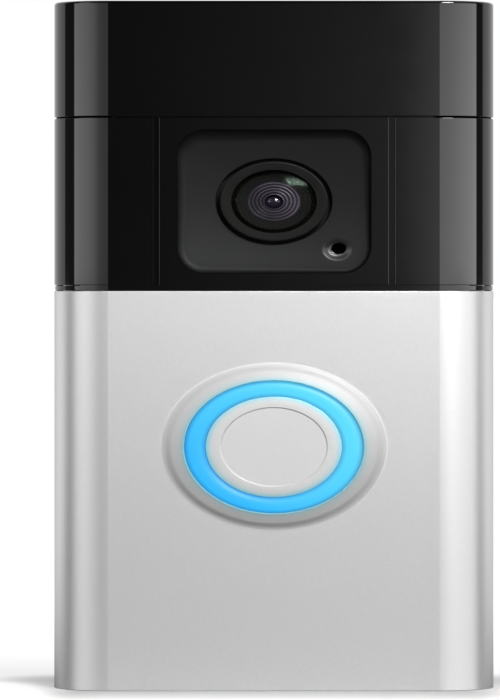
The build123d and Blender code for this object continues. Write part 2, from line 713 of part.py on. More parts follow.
# Satin pan sunk into the camera panel, with the microphone dimple
with BuildPart() as lens_pan:
    flange_x = PAN_X + PAN_FLANGE
    flange_up = PAN_UP + PAN_FLANGE
    cushion(flange_x, flange_up, PAN_R + PAN_FLANGE, (PAN_BACK, FRONT - SKIN))
    rim_out = (FRONT - SKIN, FRONT - SEAT_GAP)
    cushion(PAN_X - SEAT_GAP, PAN_UP - SEAT_GAP, PAN_R, rim_out)
    with BuildSketch(out_plane(PAN_FLOOR)) as pan_low:
        with Locations((0, LENS_Z)):
            RectangleRounded(2 * (PAN_X - PAN_SLOPE), 2 * (PAN_UP - PAN_SLOPE), PAN_LOW_R)
    with BuildSketch(out_plane(FRONT)) as pan_high:
        with Locations((0, LENS_Z)):
            RectangleRounded(2 * (PAN_X - PAN_RIM), 2 * (PAN_UP - PAN_RIM), PAN_R)
    loft(mode=Mode.SUBTRACT)
    floor_y = WALL_Y - PAN_FLOOR
    floor_edges = lens_pan.edges().filter_by_position(Axis.Y, floor_y - TINY, floor_y + TINY)
    fillet(floor_edges, PAN_SOFT)
    oval(LENS_Z, PAN_HOLE_R, (PAN_BACK, FRONT), Mode.SUBTRACT)
    with BuildSketch(out_plane(PAN_FLOOR + MIC_RIM)) as dimple_wide:
        with Locations(*MIC_SPOT):
            Ellipse(MIC_DISH_R * OVAL, MIC_DISH_R)
    with BuildSketch(out_plane(PAN_FLOOR - MIC_DISH)) as dimple_narrow:
        with Locations(*MIC_SPOT):
            Ellipse(MIC_DISH_LOW_R * OVAL, MIC_DISH_LOW_R)
    loft(mode=Mode.SUBTRACT)
    with BuildSketch(out_plane(PAN_BACK)) as mic_hole:
        with Locations(*MIC_SPOT):
            Ellipse(MIC_HOLE_R * OVAL, MIC_HOLE_R)
    extrude(amount=PAN_WALL, mode=Mode.SUBTRACT)
lens_pan.part.label = "lens_pan"
export_step(lens_pan.part, "parts/lens_pan.step")

# Dark oval trim round the camera glass
with BuildPart() as lens_bezel:
    with BuildSketch(section_plane(LENS_Z)):
        with BuildLine():
            Polyline(
                (BEZEL_R - EDGE, BEZEL_TOP),
                (GLASS_R, BEZEL_TOP - BEZEL_SLOPE),
                (GLASS_R, BEZEL_TOP - BEZEL_DEEP),
                (GLASS_R + GLASS_SEAT, BEZEL_TOP - BEZEL_DEEP),
                (GLASS_R + GLASS_SEAT, PAN_BACK - BEZEL_FLANGE_T),
                (BEZEL_R + BEZEL_FLANGE, PAN_BACK - BEZEL_FLANGE_T),
                (BEZEL_R + BEZEL_FLANGE, PAN_BACK),
                (BEZEL_R, PAN_BACK),
                (BEZEL_R, BEZEL_TOP - EDGE),
            )
            RadiusArc((BEZEL_R, BEZEL_TOP - EDGE), (BEZEL_R - EDGE, BEZEL_TOP), -EDGE)
        make_face()
    revolve(axis=out_axis(LENS_Z))
    scale(by=(OVAL, 1, 1))
lens_bezel.part.label = "lens_bezel"
export_step(lens_bezel.part, "parts/lens_bezel.step")

# Domed cover glass
with BuildPart() as lens_window:
    dome_r = GLASS_R - GLASS_GAP
    with BuildSketch(section_plane(LENS_Z)):
        with BuildLine():
            Polyline(
                (0, GLASS_TOP),
                (0, GLASS_LOW),
                (GLASS_R + GLASS_RIM, GLASS_LOW),
                (GLASS_R + GLASS_RIM, GLASS_EDGE - GLASS_STEP),
                (dome_r, GLASS_EDGE - GLASS_STEP),
                (dome_r, GLASS_EDGE),
            )
            dome_arc(dome_r, GLASS_EDGE, GLASS_TOP)
        make_face()
    revolve(axis=out_axis(LENS_Z))
    scale(by=(OVAL, 1, 1))
lens_window.part.label = "lens_window"
export_step(lens_window.part, "parts/lens_window.step")

# Stepped rings behind the glass
with BuildPart() as lens_baffle:
    baffle_low = PAN_BACK + SEAT_GAP
    baffle_top = GLASS_LOW - SEAT_GAP
    rim_r = GLASS_R + GLASS_RIM
    steps = [(RING_IN_R, baffle_low), (rim_r, baffle_low), (rim_r, baffle_top)]
    level = baffle_top - RING_TOP_DROP
    for ring in range(RINGS):
        ring_r = RING_OUT_R + (RING_IN_R - RING_OUT_R) * ring / RINGS
        steps.append((ring_r, level))
        level -= RING_DROP
        steps.append((ring_r, level))
    steps.append((RING_IN_R, level))
    add(turned(LENS_Z, steps))
lens_baffle.part.label = "lens_baffle"
export_step(lens_baffle.part, "parts/lens_baffle.step")

# Round lens and its barrel behind the rings
LENS_TOP = PAN_BACK - LENS_SINK
LENS_BASE = LENS_TOP - LENS_LONG
with BuildPart() as front_lens:
    with BuildSketch(section_plane(LENS_Z)):
        with BuildLine():
            Polyline(
                (0, LENS_TOP),
                (0, LENS_BASE),
                (FRONT_LENS_R, LENS_BASE),
                (FRONT_LENS_R, LENS_BASE + LENS_WALL),
            )
            dome_arc(FRONT_LENS_R, LENS_BASE + LENS_WALL, LENS_TOP)
        make_face()
    revolve(axis=out_axis(LENS_Z))
front_lens.part.label = "front_lens"
export_step(front_lens.part, "parts/front_lens.step")

BARREL_LOW = HOLDER_TOP - BARREL_GRIP
BARREL_TOP = PAN_BACK - BARREL_SINK
with BuildPart() as lens_barrel:
    barrel = [
        (BARREL_BORE_R, BARREL_LOW),
        (BARREL_R, BARREL_LOW),
        (BARREL_R, BARREL_TOP),
        (FRONT_LENS_R + SEAT_GAP, BARREL_TOP),
        (FRONT_LENS_R + SEAT_GAP, LENS_BASE),
        (BARREL_BORE_R, LENS_BASE),
    ]
    add(turned(LENS_Z, barrel, widen=1))
lens_barrel.part.label = "lens_barrel"
export_step(lens_barrel.part, "parts/lens_barrel.step")

# Camera behind the lens
CHIP_TOP = CAMERA_BOARD_TOP + SENSOR_CHIP_T
with BuildPart() as camera_holder:
    holder_out = (CAMERA_BOARD_TOP, HOLDER_TOP)
    block(around(0, HOLDER_HALF), around(LENS_Z, HOLDER_HALF), holder_out)
    chip_x = around(0, SENSOR_CHIP_X + CHIP_ROOM)
    chip_up = around(LENS_Z, SENSOR_CHIP_UP + CHIP_ROOM)
    chip_out = (CAMERA_BOARD_TOP, CHIP_TOP + CHIP_ROOM_OUT)
    block(chip_x, chip_up, chip_out, Mode.SUBTRACT)
    posts(LENS_SPOT, HOLDER_BORE_R, (chip_out[1], BARREL_LOW), Mode.SUBTRACT)
    posts(LENS_SPOT, BARREL_R + SCREW_GAP, (BARREL_LOW, HOLDER_TOP), Mode.SUBTRACT)
camera_holder.part.label = "camera_holder"
export_step(camera_holder.part, "parts/camera_holder.step")

with BuildPart() as image_sensor:
    sensor_out = (CAMERA_BOARD_TOP, CHIP_TOP)
    block(around(0, SENSOR_CHIP_X), around(LENS_Z, SENSOR_CHIP_UP), sensor_out)
image_sensor.part.label = "image_sensor"
export_step(image_sensor.part, "parts/image_sensor.step")

with BuildPart() as camera_board:
    camera_out = (CAMERA_BOARD_LOW, CAMERA_BOARD_TOP)
    block(around(0, CAMERA_BOARD_HALF), around(LENS_Z, CAMERA_BOARD_HALF), camera_out)
camera_board.part.label = "camera_board"
export_step(camera_board.part, "parts/camera_board.step")

with BuildPart() as board_connector:
    connector_out = (MAIN_TOP, CAMERA_BOARD_LOW)
    block(around(0, CONNECTOR_X), around(LENS_Z, CONNECTOR_UP), connector_out)
board_connector.part.label = "board_connector"
export_step(board_connector.part, "parts/board_connector.step")

# Board behind the panels with the night lights, microphone and motion sensors
with BuildPart() as front_board:
    front_board_out = (FRONT_BOARD_LOW, FRONT_BOARD_TOP)
    block(around(0, FRONT_BOARD_X), around(LENS_Z, FRONT_BOARD_UP), front_board_out)
    posts(LENS_SPOT, BARREL_R + FRONT_BOARD_HOLE, front_board_out, Mode.SUBTRACT)
    posts(FRONT_SPOTS, SCREW_R + SCREW_GAP, front_board_out, Mode.SUBTRACT)
front_board.part.label = "front_board"
export_step(front_board.part, "parts/front_board.step")

with BuildPart() as night_leds:
    led_out = (FRONT_BOARD_TOP, FRONT_BOARD_TOP + NIGHT_LED_T)
    for x, z in NIGHT_SPOTS:
        block(around(x, NIGHT_LED), around(z, NIGHT_LED), led_out)
    posts(NIGHT_SPOTS, NIGHT_DOME_R, (led_out[1], led_out[1] + NIGHT_DOME_T))
night_leds.part.label = "night_leds"
export_step(night_leds.part, "parts/night_leds.step")

with BuildPart() as microphone:
    mic_out = (FRONT_BOARD_TOP, FRONT_BOARD_TOP + MIC_T)
    block(around(MIC_X, MIC_HALF), around(MIC_Z, MIC_HALF), mic_out)
microphone.part.label = "microphone"
export_step(microphone.part, "parts/microphone.step")

with BuildPart() as mic_tube:
    tube_out = (FRONT_BOARD_TOP + MIC_T, PAN_BACK)
    posts(MIC_SPOT, MIC_TUBE_R, tube_out)
    posts(MIC_SPOT, MIC_TUBE_BORE_R, tube_out, Mode.SUBTRACT)
mic_tube.part.label = "mic_tube"
export_step(mic_tube.part, "parts/mic_tube.step")

with BuildPart() as motion_sensors:
    motion_rim = FRONT_BOARD_TOP + MOTION_RIM_T
    posts(MOTION_SPOTS, MOTION_R, (FRONT_BOARD_TOP, motion_rim))
    posts(MOTION_SPOTS, MOTION_R - MOTION_RIM, (motion_rim, FRAME_BACK - MOTION_RIM_T))
motion_sensors.part.label = "motion_sensors"
export_step(motion_sensors.part, "parts/motion_sensors.step")

# Main board on its posts, with two shield cans
with BuildPart() as main_board:
    main_out = (MAIN_LOW, MAIN_TOP)
    block(around(0, MAIN_X), (MAIN_Z0, MAIN_Z1), main_out)
    posts(MAIN_SPOTS, SCREW_R + SCREW_GAP, main_out, Mode.SUBTRACT)
main_board.part.label = "main_board"
export_step(main_board.part, "parts/main_board.step")

with BuildPart() as shield_cans:
    can_up = (LENS_Z + CAN_LOW, LENS_Z + CAN_HIGH)
    for side in SIDES:
        can_x = sorted((side * CAN_X, side * (MAIN_X - CAN_INSET)))
        block(can_x, can_up, (MAIN_TOP, MAIN_TOP + CAN_T))
shield_cans.part.label = "shield_cans"
export_step(shield_cans.part, "parts/shield_cans.step")

# Ribbons from the light board and the front board down to the main board
with BuildPart() as ribbon_cables:
    main_seat = MAIN_TOP + RIBBON_T / 2
    light_seat = LED_LOW - RIBBON_T / 2
    front_seat = FRONT_BOARD_LOW - RIBBON_T / 2
    front_top = LENS_Z + FRONT_BOARD_UP + RIBBON_EDGE
    with BuildSketch(section_plane(0)) as ribbon_paths:
        with BuildLine() as light_path:
            Polyline(
                (BUTTON_Z + LIGHT_RIBBON_UP, light_seat),
                (SLEEVE_Z1 + SLEEVE_CLEAR, light_seat),
                (MAIN_Z0 + RIBBON_START, main_seat + RIBBON_BEND_OUT),
                (MAIN_Z0 + RIBBON_START + RIBBON_BEND, main_seat),
                (MAIN_Z0 + RIBBON_START + RIBBON_BEND + RIBBON_SEAT, main_seat),
            )
        trace(light_path.line, line_width=RIBBON_T)
        with BuildLine() as front_path:
            Polyline(
                (LENS_Z + FRONT_RIBBON_UP, front_seat),
                (front_top, front_seat),
                (front_top + RIBBON_RUN, main_seat + RIBBON_BEND_OUT),
                (front_top + RIBBON_RUN + RIBBON_BEND, main_seat),
                (front_top + RIBBON_RUN + RIBBON_BEND + RIBBON_SEAT, main_seat),
            )
        trace(front_path.line, line_width=RIBBON_T)
    extrude(amount=RIBBON_HALF, both=True)
ribbon_cables.part.label = "ribbon_cables"
export_step(ribbon_cables.part, "parts/ribbon_cables.step")

# Raised collar round the light
with BuildPart() as button_skirt:
    lip_r = CARRIER_IN_R + SKIRT_LIP
    bulge_r = (SKIRT_R + CARRIER_IN_R) / 2 + SKIRT_BULGE
    with BuildSketch(section_plane(BUTTON_Z)):
        with BuildLine():
            Polyline(
                (lip_r, DEPTH),
                (CARRIER_IN_R, DEPTH - SKIRT_LIP_DROP),
                (CARRIER_IN_R, FRAME_FRONT),
                (SKIRT_R, FRAME_FRONT),
                (SKIRT_R, FRONT),
            )
            ThreePointArc((SKIRT_R, FRONT), (bulge_r, FRONT + SKIRT_BULGE_RISE), (lip_r, DEPTH))
        make_face()
    revolve(axis=out_axis(BUTTON_Z))
    scale(by=(OVAL, 1, 1))
button_skirt.part.label = "button_skirt"
export_step(button_skirt.part, "parts/button_skirt.step")

# Oval light guide
with BuildPart() as halo:
    halo_shoulder = HALO_TOP - HALO_CROWN
    with BuildSketch(section_plane(BUTTON_Z)):
        with BuildLine():
            Polyline(
                (HALO_IN_R, halo_shoulder),
                (HALO_IN_R, HALO_FLOOR),
                (HALO_OUT_R, HALO_FLOOR),
                (HALO_OUT_R, halo_shoulder),
            )
            ThreePointArc(
                (HALO_OUT_R, halo_shoulder), (HALO_MID_R, HALO_TOP), (HALO_IN_R, halo_shoulder)
            )
        make_face()
    revolve(axis=out_axis(BUTTON_Z))
    scale(by=(OVAL, 1, 1))
halo.part.label = "halo"
export_step(halo.part, "parts/halo.step")

# Carrier that holds the light guide and guides the button
with BuildPart() as halo_carrier:
    flange_r = CARRIER_R + CARRIER_FLANGE
    flange_back = FRAME_BACK - CARRIER_FLANGE_T
    carrier = [
        (CARRIER_BORE_R, LED_TOP),
        (CARRIER_R, LED_TOP),
        (CARRIER_R, flange_back),
        (flange_r, flange_back),
        (flange_r, FRAME_BACK),
        (CARRIER_R, FRAME_BACK),
        (CARRIER_R, FRAME_FRONT),
        (CARRIER_IN_R, FRAME_FRONT),
        (CARRIER_IN_R, HALO_FLOOR),
        (CUP_R, HALO_FLOOR),
        (CUP_R, CUP_TOP),
        (STEM_R + GUIDE_GAP, CUP_TOP),
        (STEM_R + GUIDE_GAP, CUP_TOP - CUP_T),
        (CUP_R - CUP_WALL, CUP_TOP - CUP_T),
        (CUP_R - CUP_WALL, HALO_FLOOR),
        (CARRIER_BORE_R, HALO_FLOOR),
    ]
    add(turned(BUTTON_Z, carrier))
    posts(LED_SPOTS, LED_POCKET_R, (LED_TOP, HALO_FLOOR), Mode.SUBTRACT)
halo_carrier.part.label = "halo_carrier"
export_step(halo_carrier.part, "parts/halo_carrier.step")

# Board under the light, with an arm to the setup switch
with BuildPart() as led_board:
    led_board_out = (LED_LOW, LED_TOP)
    oval(BUTTON_Z, LED_BOARD_R, led_board_out)
    block((ARM_X - ARM_END, 0), around(SETUP_Z, ARM_HALF), led_board_out)
    posts(ARM_SPOT, SCREW_R + SCREW_GAP, led_board_out, Mode.SUBTRACT)
led_board.part.label = "led_board"
export_step(led_board.part, "parts/led_board.step")

with BuildPart() as halo_leds:
    for x, z in LED_SPOTS:
        led_x = around(x, HALO_LED / 2)
        block(led_x, around(z, HALO_LED / 2), (LED_TOP, LED_TOP + HALO_LED_T))
halo_leds.part.label = "halo_leds"
export_step(halo_leds.part, "parts/halo_leds.step")

# Push button and what it presses
with BuildPart() as button_cap:
    skirt_in_r = CUP_R + PRESS_ROOM
    skirt_low = CUP_TOP + PRESS_ROOM
    step_top = BUTTON_TOP - BUTTON_STEP
    rim_start = (BUTTON_R, BUTTON_TOP - BUTTON_SOFT)
    rim_end = (BUTTON_R - BUTTON_SOFT, BUTTON_TOP)
    with BuildSketch(section_plane(BUTTON_Z)):
        with BuildLine():
            Polyline(
                rim_end,
                (BUTTON_STEP_R + BUTTON_STEP_SLOPE, BUTTON_TOP),
                (BUTTON_STEP_R, step_top),
                (0, step_top),
                (0, FLANGE_TOP),
                (skirt_in_r, FLANGE_TOP),
                (skirt_in_r, skirt_low),
                (BUTTON_R, skirt_low),
                rim_start,
            )
            RadiusArc(rim_start, rim_end, -BUTTON_SOFT)
        make_face()
    revolve(axis=out_axis(BUTTON_Z))
    scale(by=(OVAL, 1, 1))
button_cap.part.label = "button_cap"
export_step(button_cap.part, "parts/button_cap.step")

with BuildPart() as button_plunger:
    oval(BUTTON_Z, CUP_R + STEM_FLANGE_ROOM, (FLANGE_LOW, FLANGE_TOP))
    oval(BUTTON_Z, STEM_R, (PLUNGER_LOW, FLANGE_LOW))
button_plunger.part.label = "button_plunger"
export_step(button_plunger.part, "parts/button_plunger.step")

with BuildPart() as button_seal:
    seal_out = (CUP_TOP, FLANGE_LOW)
    oval(BUTTON_Z, CUP_R - SEAL_INSET, seal_out)
    oval(BUTTON_Z, STEM_R + SEAL_BORE_GAP, seal_out, Mode.SUBTRACT)
button_seal.part.label = "button_seal"
export_step(button_seal.part, "parts/button_seal.step")

with BuildPart() as button_switch:
    switch_out = (LED_TOP, SWITCH_TOP)
    block(around(0, SWITCH_HALF), around(BUTTON_Z, SWITCH_HALF), switch_out)
    posts(BUTTON_SPOT, SWITCH_BORE_R, switch_out, Mode.SUBTRACT)
button_switch.part.label = "button_switch"
export_step(button_switch.part, "parts/button_switch.step")

with BuildPart() as switch_plunger:
    pin_low = LED_TOP + BUTTON_TRAVEL + SWITCH_PIN_ROOM
    posts(BUTTON_SPOT, SWITCH_PIN_R, (pin_low, PLUNGER_LOW))
switch_plunger.part.label = "switch_plunger"
export_step(switch_plunger.part, "parts/switch_plunger.step")

# Setup button under the faceplate
with BuildPart() as setup_button:
    flange_top = FRAME_BACK - SEAT_GAP
    flange_low = flange_top - SETUP_FLANGE_T
    posts(SETUP_SPOT, SETUP_STEM_R, (SWITCH_TOP - SETUP_STEM_SINK, flange_low))
    posts(SETUP_SPOT, SETUP_R + SETUP_FLANGE, (flange_low, flange_top))
    posts(SETUP_SPOT, SETUP_R, (flange_top, FRAME_FRONT + SEAT_GAP))
setup_button.part.label = "setup_button"
export_step(setup_button.part, "parts/setup_button.step")

with BuildPart() as setup_switch:
    setup_up = around(SETUP_Z, SETUP_SWITCH_HALF)
    block(around(SETUP_X, SETUP_SWITCH_HALF), setup_up, (LED_TOP, SWITCH_TOP))
    posts(SETUP_SPOT, SETUP_SWITCH_BORE_R, (LED_TOP, SWITCH_TOP), Mode.SUBTRACT)
setup_switch.part.label = "setup_switch"
export_step(setup_switch.part, "parts/setup_switch.step")

# Satin faceplate with its bottom lip
with BuildPart() as faceplate:
    add(body_block(0, (0, FACE_TOP_Z), BAND + FIT))
    add(body_block(SKIN, (SKIN, FACE_TOP_Z), 0), mode=Mode.SUBTRACT)
    open_out = (BAND + FIT, FRONT - LIP)
    block(around(0, WIDTH / 2 - SKIN), (0, SKIN), open_out, Mode.SUBTRACT)
    fillet(skin_edges(faceplate, FACE_TOP_Z), EDGE)
    fillet(skin_edges(faceplate, 0), EDGE)
    oval(BUTTON_Z, SKIRT_R + FIT, (FRONT - SKIN, FRONT), Mode.SUBTRACT)
    front_y = WALL_Y - FRONT
    hole_edges = faceplate.edges().filter_by_position(Axis.Y, front_y - TINY, front_y + TINY)
    fillet(hole_edges.filter_by(GeomType.ELLIPSE), EDGE)
    uprights(SECURITY_SPOT, CUP_OUT_R, (0, CUP_LONG))
    uprights(SECURITY_SPOT, HEAD_WELL_R, (0, HEAD_WELL), Mode.SUBTRACT)
    uprights(SECURITY_SPOT, SECURITY_R + SCREW_GAP, (HEAD_WELL, CUP_LONG), Mode.SUBTRACT)
faceplate.part.label = "faceplate"
export_step(faceplate.part, "parts/faceplate.step")

# Battery bay
with BuildPart() as battery_sleeve:
    block(around(0, SLEEVE_X), (HOLLOW, SLEEVE_Z1), (FLOOR, SLEEVE_TOP))
    block(around(0, BAY_X), (HOLLOW, BAY_Z1), (FLOOR, BAY_TOP), Mode.SUBTRACT)
    window_x = around(0, LATCH_X + WINDOW_SIDE)
    window_z = (LATCH_Z - WINDOW_BELOW, LATCH_Z + WINDOW_ABOVE)
    block(window_x, window_z, (BAY_TOP, SLEEVE_TOP), Mode.SUBTRACT)
    uprights(PIN_SPOTS, PIN_HOLE_R, (BAY_Z1, SLEEVE_Z1), Mode.SUBTRACT)
battery_sleeve.part.label = "battery_sleeve"
export_step(battery_sleeve.part, "parts/battery_sleeve.step")

with BuildPart() as contact_block:
    contact_up = (SLEEVE_Z1, SLEEVE_Z1 + CONTACT_LONG)
    block(around(0, CONTACT_X), contact_up, around(PIN_OUT, CONTACT_OUT))
    pin_seat = (SLEEVE_Z1, SLEEVE_Z1 + PIN_SEAT)
    uprights(PIN_SPOTS, PIN_R + THREAD_GAP, pin_seat, Mode.SUBTRACT)
contact_block.part.label = "contact_block"
export_step(contact_block.part, "parts/contact_block.step")

with BuildPart() as contact_pins:
    uprights(PIN_SPOTS, PIN_R, (BATTERY_Z1 + SEAT_GAP, SLEEVE_Z1 + PIN_SEAT))
contact_pins.part.label = "contact_pins"
export_step(contact_pins.part, "parts/contact_pins.step")

# Battery pack that slides out downwards
BATTERY_OUT = (BATTERY_LOW, BATTERY_TOP)
CASE_Z1 = BATTERY_Z1 - PAD_T
CELL_ROOM_X = BATTERY_X - CASE_WALL
CELL_ROOM_Z1 = CASE_Z1 - CASE_WALL
CELL_ROOM_OUT = within(BATTERY_OUT, CASE_WALL)
with BuildPart() as battery_case:
    block(around(0, BATTERY_X), (BATTERY_SPLIT_Z, CASE_Z1), BATTERY_OUT)
    fillet(battery_case.edges().filter_by(Axis.Z), BATTERY_EDGE)
    cell_room_z = (BATTERY_SPLIT_Z, CELL_ROOM_Z1)
    block(around(0, CELL_ROOM_X), cell_room_z, CELL_ROOM_OUT, Mode.SUBTRACT)
battery_case.part.label = "battery_case"
export_step(battery_case.part, "parts/battery_case.step")

with BuildPart() as battery_cells:
    cell_z = (BATTERY_SPLIT_Z + CELL_END_GAP, CELL_ROOM_Z1 - CELL_END_GAP)
    for side in SIDES:
        cell_x = sorted((side * CELL_SPLIT, side * (CELL_ROOM_X - CELL_GAP)))
        block(cell_x, cell_z, within(CELL_ROOM_OUT, CELL_GAP))
battery_cells.part.label = "battery_cells"
export_step(battery_cells.part, "parts/battery_cells.step")

with BuildPart() as battery_pads:
    for x in PIN_XS:
        block(around(x, PAD_X), (CASE_Z1, BATTERY_Z1), around(PIN_OUT, PAD_OUT))
battery_pads.part.label = "battery_pads"
export_step(battery_pads.part, "parts/battery_pads.step")

with BuildPart() as battery_end:
    block(around(0, BATTERY_X), (BATTERY_Z0, BATTERY_SPLIT_Z), BATTERY_OUT)
    fillet(battery_end.edges().filter_by(Axis.Z), BATTERY_EDGE)
    pocket_x = around(0, TAB_X + TAB_GAP)
    block(pocket_x, (0, POCKET_Z1), (TAB_LOW - POCKET_ROOM, BATTERY_TOP), Mode.SUBTRACT)
    slit_x = around(0, LATCH_X + SCREW_GAP)
    slit_out = (TAB_LOW - LATCH_T - SEAT_GAP, TAB_LOW + SEAT_GAP)
    block(slit_x, (POCKET_Z1, LATCH_Z1 + LATCH_END_GAP), slit_out, Mode.SUBTRACT)
battery_end.part.label = "battery_end"
export_step(battery_end.part, "parts/battery_end.step")

# Spring steel strip whose lug catches in the window of the bay
with BuildPart() as latch_spring:
    latch_x = around(0, LATCH_X)
    lug_z = (LATCH_Z, LATCH_Z + LATCH_T)
    block(latch_x, (LATCH_Z0, LATCH_Z1), (TAB_LOW - LATCH_T, TAB_LOW))
    block(latch_x, lug_z, (TAB_LOW, SLEEVE_TOP - LATCH_TIP_ROOM))
latch_spring.part.label = "latch_spring"
export_step(latch_spring.part, "parts/latch_spring.step")

with BuildPart() as release_tab:
    tab_z = (TAB_Z0, LATCH_Z - TAB_ROOM)
    block(around(0, TAB_X), tab_z, (TAB_LOW, BATTERY_TOP - TAB_GAP))
    rib_x = around(0, TAB_X - TAB_RIB_INSET)
    rib_z = (TAB_Z0, TAB_Z0 + TAB_RIB_DEEP)
    for rib in range(TAB_RIBS):
        rib_out = TAB_LOW + TAB_RIB_START + rib * TAB_RIB_PITCH
        block(rib_x, rib_z, (rib_out, rib_out + TAB_RIB), Mode.SUBTRACT)
release_tab.part.label = "release_tab"
export_step(release_tab.part, "parts/release_tab.step")

# Speaker that faces the vents in the right side
SPEAKER_UP = around(SPEAKER_Z, SPEAKER_HALF)
SPEAKER_OUT = (SPEAKER_LOW, SPEAKER_TOP)
BASKET_UP = within(SPEAKER_UP, SPEAKER_WALL)
BASKET_OUT = within(SPEAKER_OUT, SPEAKER_WALL)
CONE_UP = within(BASKET_UP, SURROUND)
CONE_OUT = within(BASKET_OUT, SURROUND)
CONE_SPAN = (CONE_X, CONE_X + CONE_T)
MAGNET_UP = around(SPEAKER_Z, MAGNET_HALF)
MAGNET_OUT = within(CONE_OUT, MAGNET_SIDE)
MAGNET_X0 = SPEAKER_X0 + SPEAKER_BACK
with BuildPart() as speaker_frame:
    block((SPEAKER_X0, SPEAKER_X1), SPEAKER_UP, SPEAKER_OUT)
    block((MAGNET_X0, SPEAKER_X1), BASKET_UP, BASKET_OUT, Mode.SUBTRACT)
speaker_frame.part.label = "speaker_frame"
export_step(speaker_frame.part, "parts/speaker_frame.step")

with BuildPart() as speaker_magnet:
    block((MAGNET_X0, MAGNET_X0 + MAGNET_T), MAGNET_UP, MAGNET_OUT)
speaker_magnet.part.label = "speaker_magnet"
export_step(speaker_magnet.part, "parts/speaker_magnet.step")

with BuildPart() as speaker_cone:
    coil_x = (MAGNET_X0 + COIL_DEEP, CONE_X)
    coil_up = within(MAGNET_UP, -COIL_GAP)
    coil_out = within(MAGNET_OUT, -COIL_GAP)
    block(CONE_SPAN, CONE_UP, CONE_OUT)
    block(coil_x, within(coil_up, -COIL_T), within(coil_out, -COIL_T))
    block(coil_x, coil_up, coil_out, Mode.SUBTRACT)
speaker_cone.part.label = "speaker_cone"
export_step(speaker_cone.part, "parts/speaker_cone.step")

with BuildPart() as speaker_surround:
    block(CONE_SPAN, BASKET_UP, BASKET_OUT)
    block(CONE_SPAN, CONE_UP, CONE_OUT, Mode.SUBTRACT)
speaker_surround.part.label = "speaker_surround"
export_step(speaker_surround.part, "parts/speaker_surround.step")

with BuildPart() as speaker_gasket:
    block((SPEAKER_X1, INNER_X), SPEAKER_UP, SPEAKER_OUT)
    block((SPEAKER_X1, INNER_X), BASKET_UP, BASKET_OUT, Mode.SUBTRACT)
speaker_gasket.part.label = "speaker_gasket"
export_step(speaker_gasket.part, "parts/speaker_gasket.step")

# Wiring terminals at the back
WASHER_OUT = (TERMINAL_WELL - WASHER_T, TERMINAL_WELL)
with BuildPart() as terminal_washers:
    posts(TERMINAL_SPOTS, TERMINAL_WELL_R - WASHER_GAP, WASHER_OUT)
    posts(TERMINAL_SPOTS, WASHER_BORE_R, WASHER_OUT, Mode.SUBTRACT)
terminal_washers.part.label = "terminal_washers"
export_step(terminal_washers.part, "parts/terminal_washers.step")

with BuildPart() as terminal_screws:
    terminal_tip = FLOOR + TERMINAL_BORE - TERMINAL_TIP_ROOM
    posts(TERMINAL_SPOTS, TERMINAL_HEAD_R, (TERMINAL_SINK, WASHER_OUT[0]))
    posts(TERMINAL_SPOTS, TERMINAL_SCREW_R, (WASHER_OUT[0], terminal_tip))
    terminal_cut = (TERMINAL_SINK, TERMINAL_SINK + TERMINAL_CROSS_DEEP)
    cross_recess(TERMINAL_SPOTS, TERMINAL_CROSS, terminal_cut)
terminal_screws.part.label = "terminal_screws"
export_step(terminal_screws.part, "parts/terminal_screws.step")

# Screws from the back that hold the frame to the housing
with BuildPart() as case_screws:
    posts(CASE_SPOTS, CASE_HEAD_R, (CASE_HEAD_SINK, CASE_WELL))
    posts(CASE_SPOTS, CASE_SCREW_R, (CASE_WELL, FRAME_LOW + CASE_THREAD - CASE_TIP_ROOM))
    cross_recess(CASE_SPOTS, CASE_CROSS, (CASE_HEAD_SINK, CASE_HEAD_SINK + CASE_CROSS_DEEP))
case_screws.part.label = "case_screws"
export_step(case_screws.part, "parts/case_screws.step")

# Board screws: heads in front of the main board, behind the front board and behind the arm
with BuildPart() as board_screws:
    posts(MAIN_SPOTS, SCREW_HEAD_R, (MAIN_TOP, MAIN_TOP + SCREW_HEAD_T))
    posts(MAIN_SPOTS, SCREW_R, (MAIN_TOP - SCREW_LONG, MAIN_TOP))
    for spots, seat in ((FRONT_SPOTS, FRONT_BOARD_LOW), (ARM_SPOT, LED_LOW)):
        posts(spots, SCREW_HEAD_R, (seat - SCREW_HEAD_T, seat))
        posts(spots, SCREW_R, (seat, seat + SCREW_LONG))
board_screws.part.label = "board_screws"
export_step(board_screws.part, "parts/board_screws.step")

# Security screw that holds the faceplate's lip
with BuildPart() as security_screw:
    uprights(SECURITY_SPOT, SECURITY_HEAD_R, (BATTERY_Z0, HEAD_WELL))
    uprights(SECURITY_SPOT, SECURITY_R, (HEAD_WELL, SECURITY_TIP))
    with BuildSketch(Plane.XY.offset(BATTERY_Z0)):
        with Locations((0, WALL_Y - SECURITY_OUT)):
            RegularPolygon(SECURITY_SOCKET_R, 6)
    extrude(amount=SECURITY_SOCKET, mode=Mode.SUBTRACT)
security_screw.part.label = "security_screw"
export_step(security_screw.part, "parts/security_screw.step")
